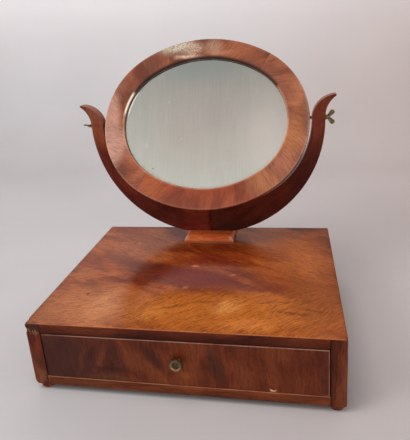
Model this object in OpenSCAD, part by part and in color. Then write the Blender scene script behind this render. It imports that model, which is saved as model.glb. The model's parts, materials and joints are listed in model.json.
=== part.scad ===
// Dressing table mirror: an oval glass that tilts in a yoke, on a box with one drawer.
// The origin is the centre of the footprint, on the surface that the feet stand on.
// X runs to the right, Y to the back and Z up.

/* [Box] */
// Width of the box
box_w = 430; // [400:5:480]
// Depth of the box, front to back
box_d = 330; // [300:5:380]
// Height of the box without its feet
box_h = 100; // [90:1:120]
// Thickness of the side boards, whose front edges show
side_t = 20.5; // [16:0.5:24]
// Thickness of the sheet of veneer on the top
top_veneer_t = 1.5; // [1:0.1:2.5]
// Thickness of the top board and height of the rail in front of it
top_board_t = 14.5; // [12:0.5:18]
// Height of the rail under the drawer
bottom_rail_h = 14.5; // [12:0.5:18]
// Depth of both rails, front to back
rail_d = 42; // [36:1:60]
// Thickness of the back panel
back_t = 8; // [6:0.5:12]
// Thickness of the bottom board
bottom_t = 8; // [5:0.5:9]
// Rounding of the box's upright corners
corner_r = 3; // [1:0.5:5]

/* [Feet] */
// Diameter of a bun foot
foot_d = 20; // [16:1:26]
// Height of a bun foot
foot_h = 9; // [6:0.5:10]
// Distance of a foot's centre from the two edges at its corner
foot_inset = 12; // [12:0.5:20]

/* [Drawer] */
// Gap that shows all round the drawer front
drawer_gap = 0.9; // [0.5:0.1:1.5]
// Thickness of the drawer front
front_t = 18; // [14:0.5:22]
// Thickness of the drawer's sides and back
drawer_wall_t = 8; // [6:0.5:10]
// Thickness of the drawer's bottom panel
drawer_bottom_t = 4; // [3:0.5:5]
// Space between the closed drawer and the back panel
drawer_rear_space = 22; // [12:1:60]
// Height of the drawer's bottom panel above the lower edge of its sides
bottom_rise = 7; // [6:0.5:10]
// Depth of the grooves that hold the bottom panel
groove_depth = 4; // [2:0.5:5]
// How far the sides end below the top of the drawer front
side_drop = 4; // [2:0.5:8]
// How far the drawer's back ends below its sides
back_drop = 4; // [0:0.5:8]
// Number of dovetails in each corner
tails = 3; // [2:1:3]
// Length of a dovetail in the drawer front, which it doesn't go through
tail_l = 12; // [8:0.5:13]
// Width of a dovetail at its narrow root
tail_w = 9; // [6:0.5:11]
// How much wider a dovetail is on each side at its tip
tail_flare = 2; // [1:0.1:2.5]
// Width of a runner
runner_w = 16; // [12:1:24]
// Length of a drawer stop, along the rail
stop_w = 34; // [20:1:50]
// Height of a drawer stop
stop_h = 5; // [3:0.5:5]

/* [Knob] */
// Diameter of the knob's face
knob_d = 19; // [16:0.5:24]
// How far the knob stands out of the drawer front
knob_l = 11; // [10.5:0.5:15]
// Diameter of the knob's foot against the drawer front
knob_foot_d = 10; // [9:0.5:14]
// Diameter of the knob's neck
knob_neck_d = 7; // [6:0.5:8.5]
// Thickness of the flange at the knob's foot
knob_foot_t = 1.2; // [0.8:0.1:2]
// Thickness of the knob's head
knob_head_t = 6; // [5.5:0.5:8]
// Radius of the round rim of the knob's head
knob_rim_r = 2.5; // [1.5:0.1:2.7]
// Width of the ring-shaped hollow in the knob's face
knob_dish_w = 4.5; // [3:0.1:5.5]
// Depth of the hollow in the knob's face
knob_dish = 1.6; // [1:0.1:2.2]
// Height of the knob above the middle of the drawer front
knob_rise = 4.5; // [0:0.5:6]
// Distance of the knob from the middle line, to the right if positive
knob_aside = -1.5; // [-4:0.5:4]
// Diameter of the screw behind the knob
knob_screw_d = 4; // [3:0.5:5]
// Thickness of the nut inside the drawer
knob_nut_t = 3; // [2:0.5:4]
// How far the screw's end stands out of its nut
knob_screw_end = 2; // [0:0.5:3]

/* [Plinth] */
// Width of the block that carries the yoke
plinth_w = 90; // [80:1:110]
// Depth of the block, front to back
plinth_d = 71; // [60:1:74]
// Height of the block
plinth_h = 14; // [12:0.5:20]
// Radius of the rounded edge round the block's top
plinth_round = 10.5; // [6:0.5:11]
// Distance of the yoke's middle plane from the back of the box
yoke_from_back = 37.5; // [37.5:0.5:60]

/* [Yoke] */
// Thickness of the yoke, front to back
yoke_t = 20; // [16:0.5:26]
// Width of an arm at the pivot
arm_w = 21.8; // [18:0.2:28]
// How much of the outer circle the flat seat cuts off
seat_cut = 5; // [3:0.5:8]
// Radius of the horn's upper edge
horn_upper_r = 41; // [36:0.5:50]
// Thickness of the horn at its tip
horn_tip_t = 2.9; // [2:0.1:5]
// Height above the oval's centre where the hollow edge begins
horn_start = 5; // [2:0.5:10]
// How far a horn's tip reaches past the arm's outer face
horn_reach = 17.5; // [12:0.5:20]
// Diameter of the two screws that hold the yoke
yoke_screw_d = 4.4; // [3.5:0.1:5]
// Distance of each yoke screw from the middle
yoke_screw_x = 20; // [14:1:28]
// Wood left above the yoke screws, in the middle of the yoke
yoke_screw_cover = 20.5; // [8:0.5:26]

/* [Mirror frame] */
// Width of the oval frame
oval_w = 365.4; // [350:0.2:380]
// Height of the oval frame
oval_h = 310; // [300:1:320]
// Angle above the middle line at which the oval's end arcs meet its flatter arcs
arc_angle = 56.4; // [45:0.2:66]
// Width of the frame's face
face_w = 35.4; // [30:0.2:40]
// Thickness of the frame
frame_t = 16; // [15:0.5:20]
// Rounding of the outer front edge
outer_round = 2.5; // [1:0.1:3]
// Rounding of the inner front edge, inside the face
inner_round = 2; // [1:0.1:3]
// Bevel of the outer back edge
back_bevel = 1; // [0.5:0.1:2]
// Depth from the frame's face to the glass
lip_t = 7; // [5:0.5:8]
// Height of the pivots above the oval's centre
pivot_rise = 2; // [1:0.5:4]
// Angle at which the mirror leans back
lean = 26.5; // [0:0.5:40]
// Gap between the frame and the yoke when the mirror stands upright
swing_gap = 3; // [2.5:0.1:5]

/* [Glass and back] */
// Thickness of the mirror glass
glass_t = 3; // [2:0.5:4]
// Width of the ledge that the glass lies on
glass_ledge = 6; // [4:0.5:8]
// Width of the ledge that the back board lies on
board_ledge = 8; // [6:0.5:9]
// How deep the back board lies below the frame's back
board_recess = 0.5; // [0:0.1:2]
// Number of screws in the back board
board_screws = 8; // [4:2:12]
// Diameter of a back board screw
board_screw_d = 2.4; // [2:0.2:3]
// Diameter of a back board screw's head
board_screw_head_d = 5; // [4:0.2:6]
// Height of a back board screw's head
board_screw_head_t = 1; // [0.6:0.1:2]
// Wood left between the tip of a back board screw and the frame's face
board_screw_cover = 3; // [2:0.5:5]

/* [Wing screws] */
// Diameter of a wing screw's shank
shank_d = 4.9; // [4:0.1:6]
// Diameter of the threaded bush in the frame
bush_d = 9; // [8:0.2:10]
// Length of the threaded bush
bush_l = 14; // [10:0.5:16]
// How far the shank reaches into the bush
shank_grip = 11; // [8:0.5:13]
// Diameter of the collar against the arm
collar_d = 10; // [8:0.5:12]
// Thickness of the collar
collar_t = 1.5; // [1:0.1:3]
// Length of the screw's hub beyond the collar
hub_l = 4.5; // [3:0.5:6]
// Diameter of the hub
hub_d = 6.5; // [5.5:0.1:8]
// Diameter of each ear
ear_d = 8.2; // [7:0.2:10]
// Width of an ear's web where it leaves the hub
ear_root_w = 4.4; // [3:0.2:6]
// Thickness of the ears
ear_t = 2.2; // [1.5:0.1:3]
// Distance of each ear's centre from the screw's axis
ear_spread = 8.2; // [6:0.1:10]
// Distance of the ears' centres from the arm's outer face
ear_out = 11.6; // [9:0.1:13]
// Turn of the left wing screw about its axis
left_turn = 70; // [0:5:180]
// Turn of the right wing screw about its axis
right_turn = 0; // [0:5:180]

/* [Fits] */
// Gap under the drawer's sides and before its stops
slide_gap = 0.3; // [0.2:0.05:0.6]
// Gap between a turning shank and its hole, on the radius
running_gap = 0.05; // [0.02:0.01:0.1]
// Gap round glass, panels, bushes and screws in their places
fit_gap = 0.1; // [0.05:0.05:0.2]
// Gap between a wing screw's collar and the arm
collar_gap = 0.3; // [0.2:0.05:0.5]

/* [Hidden] */
$fn = 96;
eps = 1;
MAHOGANY = [0.45, 0.20, 0.11];
FRAME_RED = [0.62, 0.33, 0.21];
YOKE_RED = [0.34, 0.13, 0.09];
TOP_BROWN = [0.68, 0.36, 0.19];
DRAWER_PLUM = [0.32, 0.15, 0.11];
PINE = [0.76, 0.60, 0.40];
BRASS = [0.60, 0.50, 0.28];
IRON = [0.25, 0.24, 0.24];
GLASS_GREY = [0.66, 0.68, 0.66];

// Heights of the box's parts above the standing surface
bottom_z = foot_h;
rail_z = bottom_z + bottom_rail_h;
floor_z = bottom_z + bottom_t;
board_z = foot_h + box_h - top_veneer_t - top_board_t;
veneer_z = board_z + top_board_t;
top_z = foot_h + box_h;
opening_w = box_w - 2 * side_t;
opening_h = board_z - rail_z;
drawer_d = box_d - back_t - drawer_rear_space;

// The oval: two circles of oval_end_r at the ends and two larger ones, of flat_r, above and below.
// They touch where both centres lie on one line, which rises at arc_angle.
half_h = oval_h / 2;
arc_share = tan(arc_angle) - 1 / cos(arc_angle);
oval_end_r = (half_h + oval_w / 2 * arc_share) / (1 + arc_share);
end_x = oval_w / 2 - oval_end_r;
flat_r = oval_end_r + end_x / cos(arc_angle);
flat_z = flat_r - half_h;
arc_step = 2.5;
ring_w = face_w + inner_round;
glass_edge = ring_w - glass_ledge + fit_gap;
board_edge = ring_w - glass_ledge - board_ledge + fit_gap;
glass_back = frame_t - lip_t - glass_t;
board_t = glass_back - board_recess;

// The yoke and the pivot
arm_in = oval_w / 2 + swing_gap;
arm_out = arm_in + arm_w;
yoke_y = box_d / 2 - yoke_from_back;
plinth_top = top_z + plinth_h;
centre_z = plinth_top + arm_out - seat_cut;
pivot_z = centre_z + pivot_rise;
yoke_screw_grip = arm_out - seat_cut - half_h - swing_gap - yoke_screw_cover;

// The drawer
front_w = opening_w - 2 * drawer_gap;
front_h = opening_h - 2 * drawer_gap;
front_z = rail_z + drawer_gap;
drawer_side_z = rail_z + slide_gap;
drawer_side_h = front_z + front_h - side_drop - drawer_side_z;
panel_z = drawer_side_z + bottom_rise;
drawer_back_z = panel_z + drawer_bottom_t;
drawer_back_h = drawer_side_z + drawer_side_h - back_drop - drawer_back_z;
knob_z = front_z + front_h / 2 + knob_rise;

// The reach to the front and to the back, which sets the origin halfway between
oval_top = half_h - pivot_rise;
lean_back = max((oval_top - back_bevel) * sin(lean) + frame_t / 2 * cos(lean),
                oval_top * sin(lean) + (frame_t / 2 - back_bevel) * cos(lean));
back_reach = max(box_d / 2, yoke_y + lean_back);
front_reach = box_d / 2 + knob_l;
shift_y = (front_reach - back_reach) / 2;

// Places a piece that is drawn about the middle of the box
module in_box() translate([0, shift_y, 0]) children();

// Places a piece that is drawn in the yoke's plane, with x to the right, y up and the front at +z
module in_yoke() in_box() translate([0, yoke_y, centre_z]) rotate([90, 0, 0]) children();

// Places a piece of the leaning mirror, drawn like the yoke's, with the frame's back at z = 0
module in_mirror()
    in_box() translate([0, yoke_y, pivot_z]) rotate([90 - lean, 0, 0])
        translate([0, -pivot_rise, -frame_t / 2]) children();

// An upright board with its left front corner at x, y and its outer edges left square
module board(x, y, z, w, d, h) translate([x, y, z]) cube([w, d, h]);

// The plan of the whole box with its rounded corners
module box_plan() {
    square([box_w - 2 * corner_r, box_d], center = true);
    square([box_w, box_d - 2 * corner_r], center = true);
    for (x = [-1, 1], y = [-1, 1])
        translate([x * (box_w / 2 - corner_r), y * (box_d / 2 - corner_r)]) circle(corner_r);
}

module top_veneer() color(TOP_BROWN) in_box()
    difference() {
        translate([0, 0, veneer_z]) linear_extrude(top_veneer_t) box_plan();
        yoke_screw_holes();
    }

module top_board() color(PINE) in_box()
    difference() {
        board(-opening_w / 2, -box_d / 2 + rail_d, board_z, opening_w, box_d - rail_d, top_board_t);
        yoke_screw_holes();
        yoke_screw_sinks();
    }

module front_rail(z, h) color(MAHOGANY) in_box()
    board(-opening_w / 2, -box_d / 2, z, opening_w, rail_d, h);

module top_rail() front_rail(board_z, top_board_t);

module bottom_rail() front_rail(bottom_z, bottom_rail_h);

// A full-height side: its front edge is the stile beside the drawer
module side(hand) color(MAHOGANY) in_box()
    translate([0, 0, bottom_z]) linear_extrude(box_h - top_veneer_t)
        intersection() {
            box_plan();
            translate([hand * (box_w - side_t) / 2, 0]) square([side_t, box_d + eps], center = true);
        }

module side_left() side(-1);

module side_right() side(1);

module back_panel() color(PINE) in_box()
    board(-opening_w / 2, box_d / 2 - back_t, bottom_z, opening_w, back_t, board_z - bottom_z);

module bottom_board() color(PINE) in_box()
    board(-opening_w / 2, -box_d / 2 + rail_d, bottom_z,
          opening_w, box_d - rail_d - back_t, bottom_t);

// A strip on the bottom board that a drawer side slides on
module runner(hand) color(PINE) in_box()
    board(hand * (opening_w - runner_w) / 2 - runner_w / 2, -box_d / 2 + rail_d, floor_z,
          runner_w, box_d - rail_d - back_t, rail_z - floor_z);

module runner_left() runner(-1);

module runner_right() runner(1);

// Two blocks on the bottom rail that the drawer front closes against
module drawer_stops() color(PINE) in_box()
    for (hand = [-1, 1])
        board(hand * opening_w / 4 - stop_w / 2, -box_d / 2 + front_t + slide_gap, rail_z,
              stop_w, rail_d - front_t - slide_gap, stop_h);

// A low bun foot with a fully rounded rim
module foot(x_hand, y_hand) color(MAHOGANY) in_box()
    translate([x_hand * (box_w / 2 - foot_inset), y_hand * (box_d / 2 - foot_inset), 0])
        rotate_extrude() {
            square([(foot_d - foot_h) / 2, foot_h]);
            intersection() {
                translate([(foot_d - foot_h) / 2, foot_h / 2]) circle(foot_h / 2);
                square([foot_d, foot_h]);
            }
        }

module foot_front_left() foot(-1, -1);

module foot_front_right() foot(1, -1);

module foot_back_left() foot(-1, 1);

module foot_back_right() foot(1, 1);

// A row of dovetails of length l on an edge of height h, pointing to -y from a root at y = 0
module dovetails(h, l) {
    flare = tail_flare * l / tail_l;
    for (i = [0 : tails - 1])
        translate([0, (i + 0.5) * h / tails])
            polygon([[0, -tail_w / 2], [-l, -tail_w / 2 - flare],
                     [-l, tail_w / 2 + flare], [0, tail_w / 2]]);
}

// A drawer side's profile in y and z, made as thick as the side, from its front end or its back end
module in_drawer_side(hand) rotate([90, 0, 90])
    translate([0, 0, hand * (front_w - drawer_wall_t) / 2 - drawer_wall_t / 2])
        linear_extrude(drawer_wall_t) children();

// The dovetails of one side, where they enter the drawer front
module front_tails(hand) in_drawer_side(hand)
    translate([-box_d / 2 + front_t, drawer_side_z]) dovetails(drawer_side_h, tail_l);

// The pins at one end of the drawer's back, between the dovetails of the side
module back_pins(hand) in_drawer_side(hand)
    translate([-box_d / 2 + drawer_d - drawer_wall_t, drawer_back_z]) difference() {
        square([drawer_wall_t, drawer_back_h]);
        mirror([1, 0]) dovetails(drawer_back_h, drawer_wall_t);
    }

// The slab that the grooves for the bottom panel are cut with
module panel_slab(gap)
    board(-front_w / 2 + drawer_wall_t - groove_depth - gap,
          -box_d / 2 + front_t - groove_depth - gap, panel_z - gap,
          front_w - 2 * (drawer_wall_t - groove_depth) + 2 * gap,
          drawer_d - front_t + groove_depth + gap, drawer_bottom_t + gap);

module drawer_front() color(DRAWER_PLUM) in_box()
    difference() {
        board(-front_w / 2, -box_d / 2, front_z, front_w, front_t, front_h);
        front_tails(-1);
        front_tails(1);
        panel_slab(fit_gap);
        translate([knob_aside, -box_d / 2 - eps, knob_z]) rotate([-90, 0, 0])
            cylinder(d = knob_screw_d + 2 * fit_gap, h = front_t + 2 * eps);
    }

module drawer_side(hand) color(PINE) in_box()
    difference() {
        union() {
            in_drawer_side(hand) translate([-box_d / 2 + front_t, drawer_side_z])
                square([drawer_d - front_t, drawer_side_h]);
            front_tails(hand);
        }
        back_pins(hand);
        panel_slab(fit_gap);
    }

module drawer_side_left() drawer_side(-1);

module drawer_side_right() drawer_side(1);

module drawer_back() color(PINE) in_box() {
    board(-front_w / 2 + drawer_wall_t, -box_d / 2 + drawer_d - drawer_wall_t, drawer_back_z,
          front_w - 2 * drawer_wall_t, drawer_wall_t, drawer_back_h);
    back_pins(-1);
    back_pins(1);
}

module drawer_bottom() color(PINE) in_box() panel_slab(0);

// A turned knob: flange, neck, and a head with a round rim, a ring-shaped hollow and a boss
module drawer_knob() color(BRASS) in_box() {
    rim_x = knob_d / 2 - knob_rim_r;
    rim_z = knob_l - knob_rim_r;
    dish_r = (knob_dish_w * knob_dish_w / 4 + knob_dish * knob_dish) / (2 * knob_dish);
    translate([knob_aside, -box_d / 2, knob_z]) rotate([90, 0, 0]) rotate_extrude() difference() {
        union() {
            square([knob_foot_d / 2, knob_foot_t]);
            // The neck flares to the flange below it and to the head above it
            polygon([[0, 0], [knob_foot_d / 2, knob_foot_t], [knob_neck_d / 2, 2 * knob_foot_t],
                     [knob_neck_d / 2, knob_l - knob_head_t], [rim_x, rim_z - knob_rim_r],
                     [rim_x, knob_l], [0, knob_l]]);
            translate([rim_x, rim_z]) circle(knob_rim_r);
        }
        translate([rim_x - knob_dish_w / 2, knob_l + dish_r - knob_dish]) circle(dish_r);
    }
}

// The knob's screw with its nut inside the drawer
module knob_screw() color(IRON) in_box()
    translate([knob_aside, -box_d / 2, knob_z]) rotate([-90, 0, 0]) {
        cylinder(d = knob_screw_d, h = front_t + knob_nut_t + knob_screw_end);
        translate([0, 0, front_t]) cylinder(d = 2 * knob_screw_d, h = knob_nut_t, $fn = 6);
    }

// Holes for the yoke screws, all the way up
module yoke_screw_holes()
    for (hand = [-1, 1])
        translate([hand * yoke_screw_x, yoke_y, board_z - eps])
            cylinder(d = yoke_screw_d + 2 * fit_gap,
                     h = plinth_top + yoke_screw_grip + fit_gap + eps - board_z);

// Countersinks for the yoke screws under the top board
module yoke_screw_sinks()
    for (hand = [-1, 1])
        translate([hand * yoke_screw_x, yoke_y, board_z])
            cylinder(d1 = 2 * yoke_screw_d + 2 * fit_gap, d2 = yoke_screw_d + 2 * fit_gap,
                     h = yoke_screw_d / 2);

module yoke_screws() color(IRON) in_box()
    for (hand = [-1, 1])
        translate([hand * yoke_screw_x, yoke_y, board_z]) {
            cylinder(d1 = 2 * yoke_screw_d, d2 = yoke_screw_d, h = yoke_screw_d / 2);
            cylinder(d = yoke_screw_d, h = plinth_top + yoke_screw_grip - board_z);
        }

// The outline across the plinth: square at the foot, rounded at the top
module plinth_profile(w) {
    translate([-w / 2, 0]) square([w, plinth_h - plinth_round]);
    translate([plinth_round - w / 2, 0]) square([w - 2 * plinth_round, plinth_h]);
    for (hand = [-1, 1])
        translate([hand * (w / 2 - plinth_round), plinth_h - plinth_round]) circle(plinth_round);
}

// A block with a quarter-round along all four top edges, mitred at the corners
module yoke_plinth() color(MAHOGANY) in_box()
    difference() {
        translate([0, yoke_y, top_z]) intersection() {
            rotate([90, 0, 0]) linear_extrude(plinth_d + eps, center = true)
                intersection() {
                    plinth_profile(plinth_w);
                    translate([-plinth_w / 2, 0]) square([plinth_w, plinth_h]);
                }
            rotate([90, 0, 90]) linear_extrude(plinth_w + eps, center = true)
                intersection() {
                    plinth_profile(plinth_d);
                    translate([-plinth_d / 2, 0]) square([plinth_d, plinth_h]);
                }
        }
        yoke_screw_holes();
    }

// Points on the arc about c of radius r from angle a to angle b, one every arc_step or less
function arc(c, r, a, b) =
    let (n = ceil(abs(b - a) / arc_step))
    [for (i = [0 : n]) let (t = a + (b - a) * i / n) [c[0] + r * cos(t), c[1] + r * sin(t)]];

// The outline of an oval that lies inside the frame's outer edge by inset
function oval_outline(inset) =
    let (e = arc_angle, r = oval_end_r - inset, f = flat_r - inset)
    concat(arc([end_x, 0], r, -e, e), arc([0, -flat_z], f, e, 180 - e),
           arc([-end_x, 0], r, 180 - e, 180 + e), arc([0, flat_z], f, 180 + e, 360 - e));

// The outline of the yoke's right half: a crescent that ends in a horn curling outwards
function yoke_outline() =
    let (e = arc_angle,
         seat_y = seat_cut - arm_out,
         seat_angle = asin(seat_y / arm_out),
         // The upper edge leaves the inner edge at the middle line and ends at the tip
         high_c = [arm_in + horn_upper_r, 0],
         high_tip = 180 - acos((horn_upper_r - arm_w - horn_reach) / horn_upper_r),
         tip_y = horn_upper_r * sin(high_tip) - horn_tip_t,
         // The hollow edge rises from the arm's outer face at horn_start to the tip's lower corner
         hollow_h = tip_y - horn_start,
         hollow_r = (horn_reach * horn_reach + hollow_h * hollow_h) / (2 * horn_reach),
         low_tip = 180 - asin(hollow_h / hollow_r))
    concat([[0, seat_y]],
           arc([0, 0], arm_out, seat_angle, 0),
           arc([arm_out + hollow_r, horn_start], hollow_r, 180, low_tip),
           arc(high_c, horn_upper_r, high_tip, 180),
           arc([end_x, 0], oval_end_r + swing_gap, -arc_step, -e),
           arc([0, flat_z], flat_r + swing_gap, -e - arc_step, -90));

// One of the frame's four arcs, with the child's shape as its section
module end_arc(hand)
    rotate([0, 0, hand > 0 ? 0 : 180]) translate([end_x, 0, 0]) rotate([0, 0, -arc_angle])
        rotate_extrude(angle = 2 * arc_angle) children();

module flat_arc(hand)
    rotate([0, 0, hand > 0 ? 0 : 180]) translate([0, -flat_z, 0]) rotate([0, 0, arc_angle])
        rotate_extrude(angle = 180 - 2 * arc_angle) children();

module yoke_half(hand) color(YOKE_RED) difference() {
    in_yoke() mirror([hand > 0 ? 0 : 1, 0, 0]) difference() {
        linear_extrude(yoke_t, center = true) polygon(yoke_outline());
        translate([arm_in - eps, pivot_rise, 0]) rotate([0, 90, 0])
            cylinder(d = shank_d + 2 * running_gap, h = arm_w + 2 * eps);
    }
    in_box() yoke_screw_holes();
}

module yoke_left() yoke_half(-1);

module yoke_right() yoke_half(1);

// The section of the frame at the radius r: face at the top, stepped rebate at the bottom
module ring_section(r) difference() {
    translate([r - ring_w, 0]) square([ring_w, frame_t]);
    translate([r - ring_w - eps, -eps]) square([glass_ledge + eps, frame_t - lip_t + eps]);
    translate([r - ring_w - eps, -eps])
        square([glass_ledge + board_ledge + eps, glass_back + eps]);
    translate([r - outer_round, frame_t - outer_round]) difference() {
        square(outer_round + eps);
        circle(outer_round);
    }
    translate([r - ring_w + inner_round, frame_t - inner_round]) difference() {
        translate([-inner_round - eps, 0]) square(inner_round + eps);
        circle(inner_round);
    }
    polygon([[r - back_bevel, -eps], [r + eps, -eps], [r + eps, back_bevel], [r, back_bevel],
             [r - back_bevel, 0]]);
}

// Puts its children at each back board screw, along the ledge of the frame
module at_board_screws()
    for (i = [0 : board_screws - 1]) {
        turn = 360 * (i + 0.5) / board_screws;
        side_hand = cos(turn) > 0 ? 1 : -1;
        flat_hand = sin(turn) > 0 ? 1 : -1;
        ledge = ring_w - glass_ledge - board_ledge / 2;
        // The ray from the centre meets an end arc or a flat arc, whichever it points at
        corner = atan2(oval_end_r * sin(arc_angle), end_x + oval_end_r * cos(arc_angle));
        on_end = abs(cos(turn)) > cos(corner);
        c = on_end ? [side_hand * end_x, 0] : [0, -flat_hand * flat_z];
        radius = (on_end ? oval_end_r : flat_r) - ledge;
        along = c[0] * cos(turn) + c[1] * sin(turn);
        reach = along + sqrt(along * along - c * c + radius * radius);
        translate([reach * cos(turn), reach * sin(turn), 0]) children();
    }

// Holes for the back board screws
module board_screw_holes()
    at_board_screws() translate([0, 0, -eps])
        cylinder(d = board_screw_d + 2 * fit_gap, h = frame_t - board_screw_cover + fit_gap + eps,
                 $fn = 24);

// The hole for a pivot bush, in from the outer edge
module bush_hole(hand)
    translate([hand * oval_w / 2, pivot_rise, frame_t / 2]) rotate([0, -hand * 90, 0])
        translate([0, 0, -eps]) cylinder(d = bush_d + 2 * fit_gap, h = bush_l + eps);

module frame_flat(hand) color(FRAME_RED) in_mirror()
    difference() {
        flat_arc(hand) ring_section(flat_r);
        board_screw_holes();
    }

module frame_end(hand) color(FRAME_RED) in_mirror()
    difference() {
        end_arc(hand) ring_section(oval_end_r);
        board_screw_holes();
        bush_hole(hand);
    }

module frame_top() frame_flat(1);

module frame_bottom() frame_flat(-1);

module frame_left() frame_end(-1);

module frame_right() frame_end(1);

module mirror_glass() color(GLASS_GREY) in_mirror()
    translate([0, 0, glass_back]) linear_extrude(glass_t) polygon(oval_outline(glass_edge));

module back_board() color(PINE) in_mirror()
    difference() {
        translate([0, 0, board_recess])
            linear_extrude(board_t) polygon(oval_outline(board_edge));
        board_screw_holes();
    }

module back_board_screws() color(IRON) in_mirror()
    at_board_screws() {
        translate([0, 0, board_recess - board_screw_head_t])
            cylinder(d = board_screw_head_d, h = board_screw_head_t, $fn = 24);
        translate([0, 0, board_recess])
            cylinder(d = board_screw_d, h = frame_t - board_screw_cover - board_recess, $fn = 24);
    }

// A bush let into the end of the frame, which the wing screw's thread bites
module bush(hand) color(BRASS) in_mirror()
    translate([hand * (oval_w / 2 - 0.1), pivot_rise, frame_t / 2]) rotate([0, -hand * 90, 0])
        difference() {
            cylinder(d = bush_d, h = bush_l - 0.1);
            translate([0, 0, -eps]) cylinder(d = shank_d + 2 * running_gap, h = bush_l - 1 + eps);
        }

module bush_left() bush(-1);

module bush_right() bush(1);

// A flat bar from a to b with round ends of the radii ra and rb
module tapered_bar(a, ra, b, rb) {
    heading = atan2(b[1] - a[1], b[0] - a[0]);
    spread = acos((ra - rb) / norm(b - a));
    translate(a) circle(ra);
    translate(b) circle(rb);
    polygon([for (p = [[a, ra, 1], [b, rb, 1], [b, rb, -1], [a, ra, -1]])
        p[0] + p[1] * [cos(heading + p[2] * spread), sin(heading + p[2] * spread)]]);
}

// A cast wing screw on the z axis: the arm's outer face is at z = 0 and the ears are at +z
module wing_screw_blank() {
    shank_l = arm_w + swing_gap + shank_grip;
    hub_z = collar_gap + collar_t;
    translate([0, 0, -shank_l]) cylinder(d = shank_d, h = shank_l + hub_z);
    translate([0, 0, collar_gap]) cylinder(d = collar_d, h = collar_t);
    translate([0, 0, collar_gap]) cylinder(d1 = hub_d + collar_t, d2 = hub_d, h = collar_t + hub_l);
    rotate([90, 0, 0]) linear_extrude(ear_t, center = true) {
        root = [0, hub_z + ear_root_w / 2];
        tapered_bar(root, ear_root_w / 2, [ear_spread, ear_out], ear_d / 2);
        tapered_bar(root, ear_root_w / 2, [-ear_spread, ear_out], ear_d / 2);
    }
}

module wing_screw(hand, turn) color(BRASS) in_box()
    translate([hand * arm_out, yoke_y, pivot_z]) rotate([turn, 0, 0])
        rotate([0, hand * 90, 0]) wing_screw_blank();

module wing_screw_left() wing_screw(-1, left_turn);

module wing_screw_right() wing_screw(1, right_turn);

top_veneer();
top_board();
top_rail();
bottom_rail();
side_left();
side_right();
back_panel();
bottom_board();
runner_left();
runner_right();
drawer_stops();
foot_front_left();
foot_front_right();
foot_back_left();
foot_back_right();
drawer_front();
drawer_side_left();
drawer_side_right();
drawer_back();
drawer_bottom();
drawer_knob();
knob_screw();
yoke_plinth();
yoke_left();
yoke_right();
yoke_screws();
frame_top();
frame_bottom();
frame_left();
frame_right();
mirror_glass();
back_board();
back_board_screws();
bush_left();
bush_right();
wing_screw_left();
wing_screw_right();
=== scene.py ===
"""Dressing table mirror: an oval glass that tilts in a yoke, on a box with one drawer.

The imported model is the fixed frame. Each class below builds one sub-assembly's visible
pieces over it, and gives them and the carried-over pieces their finishes.
Lengths are in millimetres where a name doesn't say otherwise, and meshes are in metres.
"""

import json
import logging
import math
from dataclasses import dataclass, field, replace
from enum import Enum
from typing import Callable, Iterable, Iterator, Sequence

import bmesh
import bpy
from bmesh.types import BMesh, BMEdge, BMVert
from mathutils import Matrix, Vector, noise
from mathutils.kdtree import KDTree


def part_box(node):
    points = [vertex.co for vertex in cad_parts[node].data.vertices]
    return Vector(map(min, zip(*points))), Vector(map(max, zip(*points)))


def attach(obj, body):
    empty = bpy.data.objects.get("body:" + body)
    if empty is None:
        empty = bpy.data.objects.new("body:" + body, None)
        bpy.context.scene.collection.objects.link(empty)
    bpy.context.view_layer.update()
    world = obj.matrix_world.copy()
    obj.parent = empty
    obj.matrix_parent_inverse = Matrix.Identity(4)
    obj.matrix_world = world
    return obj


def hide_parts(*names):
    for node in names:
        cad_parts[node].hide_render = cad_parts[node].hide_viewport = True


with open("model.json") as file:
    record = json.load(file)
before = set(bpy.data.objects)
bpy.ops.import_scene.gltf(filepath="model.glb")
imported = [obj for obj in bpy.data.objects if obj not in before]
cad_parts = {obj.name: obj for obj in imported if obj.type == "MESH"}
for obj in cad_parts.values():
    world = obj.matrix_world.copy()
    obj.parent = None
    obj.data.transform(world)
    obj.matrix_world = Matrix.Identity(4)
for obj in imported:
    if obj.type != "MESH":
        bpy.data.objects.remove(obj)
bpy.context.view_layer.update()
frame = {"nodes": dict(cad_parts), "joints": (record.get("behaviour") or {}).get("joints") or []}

log = logging.getLogger("dressing_mirror")

MM = 0.001
TO_MM = (1 / MM, 1 / MM, 1 / MM)
# Points closer than this are one: in a drawn outline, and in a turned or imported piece
SAME, WELD = 1e-7, 2e-6
# Faces that meet at more than this angle have an arris between them
SHARP = 40.0
ORIGIN = Vector((0.0, 0.0, 0.0))
X_AXIS, Y_AXIS, Z_AXIS = (Vector(row) for row in Matrix.Identity(3))
UPRIGHT = Matrix.Rotation(math.radians(90), 4, "X")
SIDEWAYS = Matrix(((0, 0, 1, 0), (1, 0, 0, 0), (0, 1, 0, 0), (0, 0, 0, 1)))
MIRRORED = Matrix.Diagonal((-1, 1, 1, 1))

Colour = tuple[float, float, float]
Sides = tuple[int, int, int]
Socket = bpy.types.NodeSocket


class Hand(Enum):
    """The left or the right one of a pair, with the sign of its x."""

    LEFT = -1
    RIGHT = 1

    @property
    def word(self) -> str:
        """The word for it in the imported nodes' names."""
        return self.name.lower()


class Grain(Enum):
    """The way the grain runs on a finish's plane, as its turn in degrees."""

    ALONG = 0.0
    ACROSS = 90.0


class Mix(Enum):
    """How a second colour goes over a first one."""

    COVER = "MIX"
    DARKEN = "MULTIPLY"
    GLOW = "OVERLAY"


def paint(colour: Colour, share: float = 1.0) -> Colour:
    """Turns a screen's colour into a linear one.

    Args:
        colour: The colour as seen on a screen, 0 to 255.
        share: How bright it gets, where 1 leaves it as seen.

    Returns:
        The colour in linear values.
    """
    parts = (value / 255 for value in colour)
    return tuple(share * (p / 12.92 if p <= 0.04045 else ((p + 0.055) / 1.055) ** 2.4)
                 for p in parts)


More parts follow.
